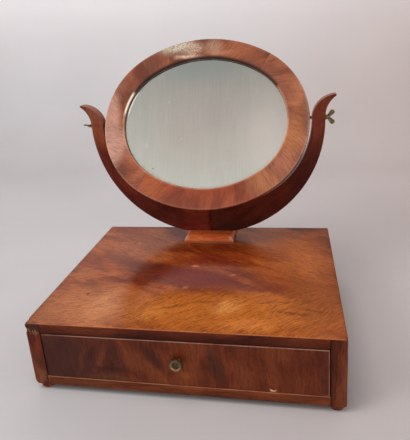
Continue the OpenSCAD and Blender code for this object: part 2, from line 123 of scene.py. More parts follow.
def mm(*values: float) -> Vector:
    """Returns a vector in metres from lengths in millimetres."""
    return Vector(values) * MM


def moving(*values: float) -> Matrix:
    """Returns the matrix that moves by lengths in millimetres."""
    return Matrix.Translation(mm(*values))


def set_up(thing: bpy.types.bpy_struct, **values: object) -> bpy.types.bpy_struct:
    """Sets a thing's values by their names.

    Args:
        thing: What gets them.
        **values: The values.

    Returns:
        The thing itself.
    """
    for name, value in values.items():
        setattr(thing, name, value)
    return thing


def low(node: str) -> Vector:
    """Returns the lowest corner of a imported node, in metres."""
    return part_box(node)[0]


def middle(node: str) -> Vector:
    """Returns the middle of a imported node, in metres."""
    lo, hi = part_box(node)
    return (lo + hi) / 2


def pivot(child: str) -> Vector:
    """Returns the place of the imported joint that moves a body, in metres."""
    return Vector(next(j for j in frame["joints"] if j["child"] == child)["pos_m"])


def front_of(node: str) -> Matrix:
    """Returns the plane of a node's front, from the middle of the sides' lower ends."""
    return Matrix.Translation((0, low(node).y, low("side_left").z)) @ UPRIGHT


# ---- Materials


class Graph:
    """Nodes that are added one by one in front of a material's or the world's shader."""

    def __init__(self, owner: bpy.types.ID, shader: str = "BsdfPrincipled",
                 output: str = "OutputMaterial", place: str = "Object") -> None:
        """Starts with the shader, its output and the place that patterns are laid on.

        Args:
            owner: The material or the world.
            shader: The shader's type.
            output: The output's type.
            place: The name of the place.
        """
        owner.use_nodes = True
        self.owner = owner
        self.tree = owner.node_tree
        self.tree.nodes.clear()
        self.shader = self.add(shader)
        self.add(output, {"Surface": self.shader.outputs[0]})
        self.place = self.add("TexCoord").outputs[place]

    def add(self, kind: str, inputs: dict[str | int, object] | None = None,
            **settings: object) -> bpy.types.Node:
        """Adds a node.

        Args:
            kind: The node's type, without the ShaderNode in front.
            inputs: What its inputs are set to or linked from.
            **settings: The node's own settings.

        Returns:
            The node.
        """
        node = set_up(self.tree.nodes.new(f"ShaderNode{kind}"), **settings)
        self.feed(node, inputs or {})
        return node

    def feed(self, node: bpy.types.Node, inputs: dict[str | int, object]) -> None:
        """Links a node's inputs to sockets, or sets them to numbers or colours.

        Args:
            node: The node.
            inputs: What each input, by its name or number, is linked to or set to.
        """
        for key, value in inputs.items():
            entry = node.inputs[key]
            if isinstance(value, bpy.types.NodeSocket):
                self.tree.links.new(value, entry)
            elif entry.type == "RGBA":
                entry.default_value = (*value, 1.0)
            else:
                entry.default_value = value

    def set_shader(self, **values: object) -> None:
        """Sets or links the shader's inputs, with _ for each space in an input's name."""
        self.feed(self.shader, {name.replace("_", " "): value for name, value in values.items()})

    def mapped(self, vector: Socket, location: Sequence[float] = (0, 0, 0),
               turn: Sequence[float] = (0, 0, 0), scale: Sequence[float] = (1, 1, 1),
               kind: str = "POINT") -> Socket:
        """Moves, turns in radians and scales a place, or measures it from there as "TEXTURE"."""
        inputs = {"Vector": vector, "Location": location, "Rotation": turn, "Scale": scale}
        return self.add("Mapping", inputs, vector_type=kind).outputs[0]

    def on_plane(self, plane: Matrix) -> Socket:
        """Returns the place in millimetres, measured on a plane of the object."""
        return self.mapped(self.place, plane.to_translation(), plane.to_euler(), (MM, MM, MM),
                           "TEXTURE")

    def along(self, axis: str) -> Socket:
        """Returns the place's X, Y or Z."""
        return self.add("SeparateXYZ", {0: self.place}).outputs[axis]

    def attribute(self, name: str, output: str = "Fac") -> Socket:
        """Returns a value that the piece carries on its points."""
        return self.add("Attribute", attribute_name=name).outputs[output]

    def noise(self, vector: Socket, long: float, wide: float, detail: float = 2.0,
              rough: float = 0.5, distortion: float = 0.0, output: str = "Fac") -> Socket:
        """Adds a noise.

        Args:
            vector: The place.
            long: The length of its spots along x.
            wide: Their width along y and z.
            detail: The number of finer layers.
            rough: The weight of the finer layers.
            distortion: How far the noise bends itself.
            output: "Fac" for one value, "Color" for three.

        Returns:
            The noise, about 0.25 to 0.75.
        """
        inputs = {"Vector": self.mapped(vector, scale=(1 / long, 1 / wide, 1 / wide)),
                  "Scale": 1.0, "Detail": detail, "Roughness": rough, "Distortion": distortion}
        return self.add("TexNoise", inputs).outputs[output]

    def bent(self, vector: Socket, size: float, reach: float) -> Socket:
        """Makes a place wander.

        Args:
            vector: The place.
            size: The distance over which it wanders.
            reach: The farthest that it wanders.

        Returns:
            The place that wanders.
        """
        wander = self.noise(vector, size, size, output="Color")
        for operation, inputs in (("SUBTRACT", {1: (0.5, 0.5, 0.5)}),
                                  ("SCALE", {"Scale": 2 * reach}), ("ADD", {1: vector})):
            node = self.add("VectorMath", {0: wander, **inputs}, operation=operation)
            wander = node.outputs[0]
        return wander

    def math(self, operation: str, *values: object) -> Socket:
        """Adds the same sum on number after number, each kept between 0 and 1.

        Args:
            operation: The name of the sum.
            *values: The numbers.

        Returns:
            The last result.
        """
        result = values[0]
        for value in values[1:]:
            node = self.add("Math", {0: result, 1: value}, operation=operation, use_clamp=True)
            result = node.outputs[0]
        return result

    def step(self, value: Socket, start: float, end: float, first: float = 0.0,
             last: float = 1.0) -> Socket:
        """Adds a smooth step.

        Args:
            value: The number that goes in.
            start: Where the step starts.
            end: Where the step ends.
            first: The result before the step.
            last: The result after it.

        Returns:
            The result.
        """
        inputs = {"Value": value, "From Min": start, "From Max": end, "To Min": first,
                  "To Max": last}
        return self.add("MapRange", inputs, interpolation_type="SMOOTHSTEP").outputs["Result"]

    def ramp(self, value: Socket, *stops: tuple[float, Colour], blur: str = "EASE") -> Socket:
        """Adds a run of colours.

        Args:
            value: The number that picks the colour.
            *stops: Each colour with the number it stands at.
            blur: The way that neighbours run together.

        Returns:
            The colour.
        """
        node = self.add("ValToRGB", {"Fac": value})
        node.color_ramp.interpolation = blur
        elements = node.color_ramp.elements
        while len(elements) < len(stops):
            elements.new(0.5)
        for element, (position, colour) in zip(elements, stops):
            element.position = position
            element.color = (*colour, 1.0)
        return node.outputs["Color"]

    def blend(self, share: object, first: object, second: object, mix: Mix = Mix.COVER) -> Socket:
        """Lays a share of the second colour over the first one, in the way that mix says."""
        inputs = {0: share, 6: first, 7: second}
        return self.add("Mix", inputs, data_type="RGBA", blend_type=mix.value).outputs[2]

    def spot(self, vector: Socket, patch: "Patch") -> Socket:
        """Works out how much of a patch shows at a place.

        Args:
            vector: The place.
            patch: The patch.

        Returns:
            The share: all of the patch's strength at its middle, and 0 outside.
        """
        centred = self.mapped(vector, (patch.x, patch.y, 0), (0, 0, math.radians(patch.turn)),
                              (patch.wide, patch.high, patch.deep), "TEXTURE")
        round_it = self.add("TexGradient", {"Vector": centred}, gradient_type="SPHERICAL")
        return self.step(round_it.outputs["Fac"], 0.0, patch.soft, 0.0, patch.strength)

    def bump(self, height: Socket) -> None:
        """Gives the surface a relief, with its height in millimetres."""
        node = self.add("Bump", {"Strength": 1.0, "Distance": MM, "Height": height})
        self.set_shader(Normal=node.outputs["Normal"])


@dataclass(frozen=True)
class Patch:
    """A soft-edged zone of another colour, in millimetres on the plane of its piece.

    Where it is grainy, the grain's fibres show through it by that share, and where it is
    scuffed as well, short scuffs do so in their place. It is deep enough for any piece.
    """

    x: float
    y: float
    wide: float
    high: float
    turn: float
    colour: Colour
    strength: float
    soft: float = 0.9
    grainy: float = 0.0
    scuffed: bool = False
    deep: float = 1000.0


@dataclass(frozen=True)
class Mahogany:
    """Polished mahogany: its colours, its grain, its polish and its zones of another colour."""

    name: str
    deep: Colour
    middle: Colour
    pale: Colour
    worn: Colour
    grain_turn: float = 0.0
    streak_l: float = 60.0
    streak_w: float = 3.0
    fibre_l: float = 16.0
    fibre_w: float = 1.1
    cloud_l: float = 120.0
    cloud_w: float = 40.0
    wander: float = 6.0
    contrast: float = 0.8
    shade: Colour = (0.27, 0.22, 0.19)
    light: Colour = (0.66, 0.64, 0.58)
    pore_depth: float = 0.4
    polish: float = 0.26
    shine: float = 0.22
    seed: float = 0.0
    patches: tuple[Patch, ...] = ()
    gleams: tuple[Patch, ...] = ()
    dull: tuple[Patch, ...] = ()
    fans: tuple[tuple[Patch, float], ...] = ()
    curved: bool = False

    def figure(self, g: Graph, laid: Socket, fibre: Socket | None = None) -> Socket:
        """Adds the fine figure: long streaks and the short fibres between them.

        Args:
            g: The material's nodes.
            laid: The place, with x along the grain.
            fibre: The fibres, if they are there already.

        Returns:
            The figure, about 0.4 to 0.6.
        """
        streak = g.noise(laid, self.streak_l, self.streak_w, 4.0, 0.62, 0.4)
        fibre = fibre or g.noise(laid, self.fibre_l, self.fibre_w, 3.0, 0.62)
        return g.math("ADD", g.math("MULTIPLY", streak, 0.6), g.math("MULTIPLY", fibre, 0.4))

    def dress(self, plane: Matrix, grain: Grain = Grain.ALONG) -> bpy.types.Material:
        """Builds the material.

        Args:
            plane: The plane that the patches are measured on.
            grain: The way the grain runs.

        Returns:
            The material.
        """
        g = Graph(bpy.data.materials.new(self.name))
        flat = g.on_plane(plane)
        laid = g.mapped(g.attribute("grain", "Vector"), scale=TO_MM) if self.curved else flat
        turn = math.radians(grain.value + self.grain_turn)
        laid = g.mapped(laid, (self.seed, 1.7 * self.seed, 0.6 * self.seed), (0, 0, turn))
        laid = g.bent(laid, 45.0, self.wander)
        edged = g.bent(flat, 14.0, 5.0)
        fibre = g.noise(laid, self.fibre_l, self.fibre_w, 3.0, 0.62)
        scuffs = g.noise(flat, 5.5, 1.9, 5.0, 0.85)
        pore = g.step(g.noise(laid, 7.0, 0.55, 1.0), 0.58, 0.68)
        cloud = g.noise(laid, self.cloud_l, self.cloud_w, distortion=0.5)
        colour = g.ramp(cloud, (0.36, paint(self.deep)), (0.5, paint(self.middle)),
                        (0.64, paint(self.pale)))
        for patch in self.patches:
            share = g.spot(edged, patch)
            if patch.grainy:
                marks = scuffs if patch.scuffed else fibre
                share = g.math("MULTIPLY", share, g.step(marks, 0.42, 0.56, 1 - patch.grainy))
            colour = g.blend(share, colour, paint(patch.colour))
        figure = self.figure(g, laid, fibre)
        for zone, fan_turn in self.fans:
            crossed = g.mapped(laid, turn=(0, 0, math.radians(fan_turn)))
            figure = g.blend(g.spot(edged, zone), figure, self.figure(g, crossed))
        tint = g.ramp(figure, (0.4, self.shade), (0.5, (0.5, 0.5, 0.5)), (0.6, self.light))
        colour = g.blend(self.contrast, colour, tint, Mix.GLOW)
        colour = g.blend(g.math("MULTIPLY", pore, self.pore_depth), colour, paint(self.deep, 0.4))
        # Rubbed arrises with painted highlights along some, dirt and dark joints with painted shade
        # in gaps and under lips, and chipped bare wood
        wear, grime, bare = (g.attribute(name) for name in ("wear", "grime", "bare"))
        rubs = g.step(g.noise(flat, 46.0, 46.0, 3.0, 0.6), 0.34, 0.56, 0.25, 0.6)
        worn = g.math("MULTIPLY", wear, rubs)
        colour = g.blend(worn, colour, paint(self.worn))
        # Painted highlights on the arrises inside each patch
        for patch in self.gleams:
            colour = g.blend(g.math("MULTIPLY", wear, g.spot(flat, patch)), colour,
                             paint(patch.colour))
        colour = g.blend(grime, colour, paint(self.deep, 0.22))
        fresh = g.ramp(g.noise(laid, 5.0, 1.2, 3.0, 0.6), (0.4, paint(self.deep, 0.4)),
                       (0.52, paint(self.deep)), (0.64, paint(self.worn)))
        colour = g.blend(bare, colour, fresh)
        handled = g.noise(flat, 38.0, 38.0, 3.0, 0.6)
        rough = g.step(handled, 0.3, 0.7, self.polish - 0.03, self.polish + 0.05)
        rough = g.math("ADD", rough, *(g.spot(flat, patch) for patch in self.dull),
                       *(g.math("MULTIPLY", value, share)
                         for value, share in ((worn, 0.2), (bare, 0.4), (grime, 0.5))))
        g.set_shader(Base_Color=colour, Roughness=rough, Specular_IOR_Level=self.shine)
        ripple = g.math("MULTIPLY", g.noise(flat, 28.0, 28.0), 0.05)
        height = g.math("ADD", ripple, g.math("MULTIPLY", fibre, 0.006))
        g.bump(g.math("SUBTRACT", height, g.math("MULTIPLY", pore, 0.008)))
        return g.owner


@dataclass(frozen=True)
class Pine:
    """Bare old softwood with its darker summer rings, gone brown with age."""

    name: str
    pale: Colour
    ring: Colour
    dirt: Colour
    ring_w: float = 5.0

    def dress(self, plane: Matrix, grain: Grain = Grain.ALONG) -> bpy.types.Material:
        """Builds the material.

        Args:
            plane: The plane that the grain is laid on.
            grain: The way the grain runs.

        Returns:
            The material.
        """
        g = Graph(bpy.data.materials.new(f"{self.name}_{grain.name.lower()}"))
        flat = g.on_plane(plane)
        laid = g.mapped(flat, (31, 17, 5), (0, 0, math.radians(grain.value)))
        laid = g.bent(laid, 120.0, 9.0)
        pale, dark = paint(self.pale), paint(self.ring)
        fibre = g.noise(laid, 22.0, 0.8, 2.0, 0.6)
        ring = g.noise(laid, 260.0, self.ring_w, 1.0, 0.4)
        colour = g.ramp(ring, (0.38, pale), (0.56, dark), (0.62, pale))
        colour = g.blend(g.step(fibre, 0.3, 0.7, 0.0, 0.35), colour, dark, Mix.DARKEN)
        stain = g.step(g.noise(flat, 60.0, 60.0, 5.0, 0.6), 0.48, 0.72, 0.0, 0.55)
        colour = g.blend(stain, colour, paint(self.dirt))
        g.set_shader(Base_Color=colour, Specular_IOR_Level=0.25,
                     Roughness=g.step(fibre, 0.3, 0.7, 0.62, 0.85))
        g.bump(g.math("MULTIPLY", fibre, 0.05))
        return g.owner


@dataclass(frozen=True)
class OldMetal:
    """Cast or turned metal with a dull skin of tarnish and rubbed high spots."""

    name: str
    bright: Colour
    tarnish: Colour
    rough: float
    tarnish_start: float = 0.4
    tarnish_end: float = 0.6

    def dress(self) -> bpy.types.Material:
        """Builds the material.

        Returns:
            The material.
        """
        g = Graph(bpy.data.materials.new(self.name))
        place = g.mapped(g.place, scale=TO_MM)
        cloud = g.noise(place, 3.0, 3.0, 4.0, 0.6)
        share = g.step(cloud, self.tarnish_start, self.tarnish_end)
        # Rubbed places, and a painted highlight on the knob's ring, show bright metal through the
        # tarnish
        share = g.math("SUBTRACT", share, g.math("MULTIPLY", g.attribute("wear"), 0.8))
        g.set_shader(Base_Color=g.blend(share, paint(self.bright), paint(self.tarnish)),
                     Metallic=g.step(share, 0.0, 1.0, 1.0, 0.7),
                     Roughness=g.step(cloud, 0.3, 0.7, self.rough, self.rough + 0.2))
        g.bump(g.math("MULTIPLY", g.noise(place, 0.7, 0.7), 0.05))
        return g.owner


@dataclass(frozen=True)
class OldGlass:
    """Old silvered glass: grey, faintly streaked, with spots where the silver has gone.

    The arc is a painted highlight along its edge: a zone's share of the ring between two patches.
    """

    name: str
    silver: Colour
    dull: Colour
    edge: Colour
    spot: Colour
    half_w: float
    half_h: float
    marks: tuple[Patch, ...]
    arc: tuple[Patch, Patch, Patch]

    def dress(self, plane: Matrix) -> bpy.types.Material:
        """Builds the material.

        Args:
            plane: The plane of the glass, from the middle of the oval.

        Returns:
            The material.
        """
        g = Graph(bpy.data.materials.new(self.name))
        flat = g.on_plane(plane)
        upright = g.mapped(flat, turn=(0, 0, math.radians(90)))
        whole = Patch(0.0, 0.0, self.half_w, self.half_h, 0.0, self.spot, 1.0, 0.75)
        streak = g.noise(upright, 46.0, 1.5, 5.0, 0.66)
        drift = g.noise(upright, 150.0, 16.0)
        cloud = g.noise(flat, 55.0, 55.0, 3.0, 0.6)
        colour = g.blend(g.spot(flat, whole), paint(self.edge), paint(self.silver))
        for share, over in ((g.step(drift, 0.4, 0.62, 0.0, 0.16), self.dull),
                            (g.step(streak, 0.4, 0.64, 0.0, 0.26), self.dull),
                            (g.step(cloud, 0.42, 0.66, 0.0, 0.25), self.edge)):
            colour = g.blend(share, colour, paint(over))
        edge = g.math("SUBTRACT", 1.0, g.spot(flat, replace(whole, soft=0.05)))
        patchy = g.step(g.noise(flat, 11.0, 11.0, 4.0, 0.7), 0.4, 0.75, 0.1, 0.55)
        specks = g.step(g.noise(flat, 2.6, 2.6, 3.0, 0.7), 0.71, 0.77, 0.0, 0.6)
        fox = g.math("MAXIMUM", g.math("MULTIPLY", edge, patchy), specks)
        colour = g.blend(fox, colour, paint(self.spot))
        for patch in self.marks:
            colour = g.blend(g.spot(flat, patch), colour, paint(patch.colour))
        # The arc: a painted highlight, with less silver under it
        outer, inner, zone = (g.spot(flat, patch) for patch in self.arc)
        arc = g.math("MULTIPLY", g.math("SUBTRACT", outer, inner), zone)
        colour = g.blend(arc, colour, paint(self.arc[0].colour))
        rough = g.math("MAXIMUM", g.step(streak, 0.3, 0.7, 0.06, 0.12),
                       g.math("MULTIPLY", fox, 0.5), g.math("MULTIPLY", arc, 0.9))
        gone = g.math("MAXIMUM", fox, arc)
        g.set_shader(Base_Color=colour, Metallic=g.step(gone, 0.0, 1.0, 1.0, 0.2), Roughness=rough)
        g.bump(g.math("MULTIPLY", cloud, 0.15))
        return g.owner


# ---- Bench work: the operators that every piece is shaped with


class Pen:
    """Draws an outline in the xy plane with lines and arcs, in millimetres."""

    def __init__(self, x: float, y: float) -> None:
        """Puts the pen down at a first point.

        Args:
            x: The point's x.
            y: The point's y.
        """
        self.bm = bmesh.new()
        self.tip: BMVert = self.bm.verts.new(mm(x, y, 0))
        self.first = self.tip

    def line(self, *points: tuple[float, float]) -> "Pen":
        """Draws lines from point to point.

        Args:
            *points: The points.

        Returns:
            The pen.
        """
        for point in points:
            self.tip = bmesh.ops.extrude_vert_indiv(self.bm, verts=[self.tip])["verts"][0]
            self.tip.co = mm(*point, 0)
        return self

    def arc(self, centre: tuple[float, float], degrees: float, step: float = 3.0) -> "Pen":
        """Draws an arc.

        Args:
            centre: The arc's centre.
            degrees: How far it turns, counter-clockwise if positive.
            step: The greatest angle between two points.

        Returns:
            The pen.
        """
        steps = max(1, math.ceil(abs(degrees) / step))
        made = bmesh.ops.spin(self.bm, geom=[self.tip], cent=mm(*centre, 0), axis=Z_AXIS,
                              dvec=ORIGIN, angle=math.radians(degrees), steps=steps,
                              use_duplicate=False)
        self.tip = next(v for v in made["geom_last"] if isinstance(v, BMVert))
        return self

    def loop(self) -> BMesh:
        """Closes the outline.

        Returns:
            Its edges alone.
        """
        if (self.tip.co - self.first.co).length > SAME:
            self.bm.edges.new((self.tip, self.first))
        bmesh.ops.remove_doubles(self.bm, verts=self.bm.verts, dist=SAME)
        return self.bm

    def closed(self) -> BMesh:
        """Closes the outline and fills it.

        Returns:
            The outline as one flat face that looks to +z.
        """
        bm = self.loop()
        bmesh.ops.contextual_create(bm, geom=bm.edges[:])
        bm.normal_update()
        if bm.faces[:][0].normal.z < 0:
            bmesh.ops.reverse_faces(bm, faces=bm.faces[:])
        return bm


def moved(bm: BMesh, matrix: Matrix) -> BMesh:
    """Puts a piece in its place.

    Args:
        bm: The piece.
        matrix: The move, the turn or the mirroring that takes it there.

    Returns:
        The piece.
    """
    bmesh.ops.transform(bm, matrix=matrix, verts=bm.verts[:])
    if matrix.determinant() < 0:
        bmesh.ops.reverse_faces(bm, faces=bm.faces[:])
    return bm


def block(lo: Vector, hi: Vector) -> BMesh:
    """Starts a board as a sharp block that fills a box.

    Args:
        lo: The box's lowest corner.
        hi: Its highest corner.

    Returns:
        The block.
    """
    bm = bmesh.new()
    bmesh.ops.create_cube(bm, size=1.0)
    return moved(bm, Matrix.Translation((lo + hi) / 2) @ Matrix.Diagonal((*(hi - lo), 1)))


def raised(bm: BMesh, height: float) -> BMesh:
    """Pulls a flat face up into a solid.

    Args:
        bm: The flat face.
        height: The solid's height in millimetres.

    Returns:
        The solid, standing on the face's plane.
    """
    made = bmesh.ops.extrude_face_region(bm, geom=bm.faces[:], use_keep_orig=True)
    top = [v for v in made["geom"] if isinstance(v, BMVert)]
    bmesh.ops.translate(bm, verts=top, vec=mm(0, 0, height))
    bmesh.ops.recalc_face_normals(bm, faces=bm.faces[:])
    return bm


def turned(outline: BMesh, steps: int) -> BMesh:
    """Turns an outline on the lathe.

    Args:
        outline: An open outline in xy, whose x is the radius and y the height.
        steps: The number of steps round the axis.

    Returns:
        The turned piece, which stands on z.
    """
    moved(outline, UPRIGHT)
    bmesh.ops.spin(outline, geom=outline.verts[:] + outline.edges[:], cent=ORIGIN, axis=Z_AXIS,
                   dvec=ORIGIN, angle=math.tau, steps=steps, use_merge=True,
                   use_duplicate=False)
    bmesh.ops.remove_doubles(outline, verts=outline.verts[:], dist=WELD)
    bmesh.ops.recalc_face_normals(outline, faces=outline.faces[:])
    return outline


def saw(bm: BMesh, point: Vector, across: Vector) -> None:
    """Draws a line of points all round a piece, where a plane meets it."""
    everything = bm.verts[:] + bm.edges[:] + bm.faces[:]
    bmesh.ops.bisect_plane(bm, geom=everything, dist=SAME, plane_co=point, plane_no=across)


def saw_round(bm: BMesh, *degrees: float) -> None:
    """Draws lines of points where planes through the z axis, at those angles, meet a piece."""
    for angle in map(math.radians, degrees):
        saw(bm, ORIGIN, Vector((-math.sin(angle), math.cos(angle), 0)))


def rims(bm: BMesh, degrees: float = SHARP) -> list[BMEdge]:
    """Returns the edges where two faces meet at more than that angle."""
    limit = math.radians(degrees)
    return [e for e in bm.edges if len(e.link_faces) == 2 and e.calc_face_angle(0.0) > limit]


def softened(bm: BMesh, edges: list[BMEdge], width: float, segments: int = 2) -> list[Vector]:
    """Rounds arrises.

    Args:
        bm: The piece.
        edges: The arrises.
        width: The rounding's width in millimetres.
        segments: The number of steps in the rounding.

    Returns:
        Where the rounded arrises run.
    """
    made = bmesh.ops.bevel(bm, geom=edges, offset=width * MM, offset_type="OFFSET",
                           segments=segments, profile=0.5, affect="EDGES", material=-1,
                           clamp_overlap=True)
    return [v.co.copy() for f in made["faces"] for v in f.verts]


def near(bm: BMesh, name: str, places: Iterable[Vector], reach: float, most: float = 1.0) -> None:
    """Gives each point a value that falls from most at the given places to 0 at reach.

    Args:
        bm: The piece.
        name: The value's name.
        places: The places, such as the arrises.
        reach: The distance in millimetres at which it is 0.
        most: The value at the places.
    """
    places = list(places)
    tree = KDTree(len(places))
    for i, place in enumerate(places):
        tree.insert(place, i)
    tree.balance()
    layer = bm.verts.layers.float.get(name) or bm.verts.layers.float.new(name)
    for v in bm.verts if places else ():
        share = max(0.0, 1.0 - tree.find(v.co)[2] / (reach * MM))
        v[layer] = max(v[layer], most * share * share * (3 - 2 * share))


@dataclass(frozen=True)
class Chip:
    """A place where an arris is broken away, in metres, with its size in millimetres."""

    place: Vector
    inwards: Vector
    radius: float
    depth: float

    def knock(self, bm: BMesh) -> None:
        """Presses the points round the place in, with a rough floor of bare wood.

        Args:
            bm: The piece.
        """
        layer = bm.verts.layers.float.get("bare") or bm.verts.layers.float.new("bare")
        for v in bm.verts:
            ragged = 1 + 0.5 * noise.noise(v.co / (3.1 * MM))
            share = 1 - (v.co - self.place).length / (self.radius * ragged * MM)
            if share > 0:
                rough = 0.8 + 0.6 * noise.noise(v.co / (1.7 * MM))
                v.co += self.inwards * (self.depth * MM * min(1.0, 2.5 * share) * rough)
                v[layer] = max(v[layer], min(1.0, 3 * share))


class Board:
    """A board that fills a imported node's box and gets soft, marked arrises."""

    hollow_size: float = 40.0
    arris_band: float = 0.7
    arris_slack: float = 1.6

    def __init__(self, node: str) -> None:
        """Starts it with sharp arrises.

        Args:
            node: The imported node.
        """
        self.lo, self.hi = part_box(node)
        self.bm = block(self.lo, self.hi)
        self.arrises: list[Vector] = []

    def edges(self, wanted: Callable[[BMEdge], bool]) -> list[BMEdge]:
        """Returns the edges that a test picks."""
        return [e for e in self.bm.edges if wanted(e)]

    def rule(self, step: float, band: float) -> None:
        """Rules it with lines all over, and with one close to each of its arrises.

        Args:
            step: The distance between lines in millimetres.
            band: The distance of the outermost lines from the arrises in millimetres.
        """
        for axis, across in enumerate((X_AXIS, Y_AXIS, Z_AXIS)):
            length = self.hi[axis] - self.lo[axis]
            if length < 4 * band * MM:
                continue
            inner = length - 2 * band * MM
            count = max(1, round(inner / (step * MM)))
            for i in range(count + 1):
                saw(self.bm, self.lo + across * (band * MM + inner * i / count), across)

    def plane(self, arris: float, step: float, hollow: float, seed: float,
              lines: Iterable[tuple[Vector, Vector]] = ()) -> None:
        """Rules it, rounds its arrises and makes it faintly uneven, as hand work leaves it.

        Args:
            arris: The width of the rounded arrises in millimetres.
            step: The distance between its points in millimetres.
            hollow: The greatest depth of the unevenness in millimetres.
            seed: Any number, which picks the unevenness.
            lines: More lines to rule, each by a point and the direction across.
        """
        self.rule(step, arris + self.arris_band)
        for point, across in lines:
            saw(self.bm, point, across)
        self.arrises = softened(self.bm, rims(self.bm), arris)
        self.bm.normal_update()
        shift = Vector((seed, 2.3 * seed, 3.1 * seed))
        for v in self.bm.verts:
            share = 0.5 + 0.5 * noise.noise(v.co / (self.hollow_size * MM) + shift)
            v.co += v.normal * (-hollow * MM * share)

    def mark(self, name: str, reach: float, most: float, *arrises: Sides) -> None:
        """Gives the points near some of its arrises a value.

        Args:
            name: The value's name.
            reach: The distance in millimetres at which it is 0.
            most: The value on the arrises.
            *arrises: Each arris by the sides that meet there, such as (0, -1, 1) for front and top.
        """
        def lies(place: Vector, sides: Sides) -> bool:
            """Tells whether a place is close to each of the sides."""
            return all(not side or abs(place[i] - (self.hi if side > 0 else self.lo)[i])
                       < self.arris_slack * MM for i, side in enumerate(sides))

        places = [p for p in self.arrises if any(lies(p, sides) for sides in arrises)]
        near(self.bm, name, places, reach, most)


def wrapped(bm: BMesh, name: str) -> bpy.types.Object:
    """Makes an object of a shape and puts it in the scene.

    Args:
        bm: The shape, which is used up.
        name: The object's name.

    Returns:
        The object.
    """
    mesh = bpy.data.meshes.new(name)
    bm.to_mesh(mesh)
    bm.free()
    return placed(name, mesh)


def placed(name: str, data: bpy.types.ID) -> bpy.types.Object:
    """Puts a new object in the scene.

    Args:
        name: Its name.
        data: Its mesh, lamp or camera.

    Returns:
        The object.
    """
    made = bpy.data.objects.new(name, data)
    bpy.context.scene.collection.objects.link(made)
    return made


def modify(piece: bpy.types.Object, name: str, kind: str, **values: object) -> None:
    """Gives a piece a modifier of that name and kind, with its settings."""
    set_up(piece.modifiers.new(name, kind), **values)


def cut(bm: BMesh, *tools: BMesh) -> BMesh:
    """Cuts the tools' shapes out of a piece.

    Args:
        bm: The piece, which is used up.
        *tools: The solids to cut with, which are used up too.

    Returns:
        The piece with its cuts.
    """
    work, *cutters = (wrapped(shape, "bench") for shape in (bm, *tools))
    for cutter in cutters:
        modify(work, "cut", "BOOLEAN", operation="DIFFERENCE", solver="EXACT", object=cutter)
    bpy.context.view_layer.update()
    shaped = work.evaluated_get(bpy.context.evaluated_depsgraph_get())
    result = bmesh.new()
    result.from_mesh(shaped.to_mesh())
    shaped.to_mesh_clear()
    for made in (work, *cutters):
        bpy.data.meshes.remove(made.data)  # takes its object with it
    return result


def drill(start: Vector, along: Vector, diameter: float, length: float) -> BMesh:
    """Makes a round cutter.

    Args:
        start: The middle of its first end, in metres.
        along: Its direction.
        diameter: Its diameter in millimetres.
        length: Its length in millimetres.

    Returns:
        The cutter.
    """
    bm = bmesh.new()
    radius = diameter / 2 * MM
    bmesh.ops.create_cone(bm, cap_ends=True, segments=32, radius1=radius, radius2=radius,
                          depth=length * MM)
    turn = along.to_track_quat("Z", "Y").to_matrix().to_4x4()
    centre = start + along.normalized() * (length / 2 * MM)
    return moved(bm, Matrix.Translation(centre) @ turn)


def join_up(bm: BMesh, other: BMesh) -> None:
    """Adds a second shape to a first one.

    Args:
        bm: The first shape.
        other: The second shape, which is used up.
    """
    mesh = bpy.data.meshes.new("bench")
    other.to_mesh(mesh)
    other.free()
    bm.from_mesh(mesh)
    bpy.data.meshes.remove(mesh)


def hand_in(bm: BMesh, name: str, body: str, slot: str, material: bpy.types.Material,
            *nodes: str) -> bpy.types.Object:
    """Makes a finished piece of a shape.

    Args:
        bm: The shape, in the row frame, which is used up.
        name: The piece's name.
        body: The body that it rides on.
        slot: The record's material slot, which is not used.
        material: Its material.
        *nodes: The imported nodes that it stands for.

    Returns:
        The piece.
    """
    bm.normal_update()
    piece = wrapped(bm, name)
    piece.data.shade_smooth()
    piece.data.materials.append(material)
    modify(piece, "even_shading", "WEIGHTED_NORMAL", keep_sharp=False, weight=60)
    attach(piece, body)
    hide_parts(*nodes)
    log.info("%s: %d faces, rides on %s", name, len(piece.data.polygons), body)
    return piece


def keep(material: bpy.types.Material, arris: float, *nodes: str) -> None:
    """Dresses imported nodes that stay, and breaks their arrises with modifiers.

    Args:
        material: Their material.
        arris: The width of their rounded arrises in millimetres.
        *nodes: The nodes' names.
    """
    for node in nodes:
        piece = frame["nodes"][node]
        piece.data.materials.clear()
        piece.data.materials.append(material)
        modify(piece, "weld", "WELD", merge_threshold=WELD)
        modify(piece, "arris", "BEVEL", width=arris * MM, segments=2, limit_method="ANGLE",
               angle_limit=math.radians(SHARP), use_clamp_overlap=True)
        log.info("%s: the packed node stays, with softer arrises", node)


# ---- Finishes

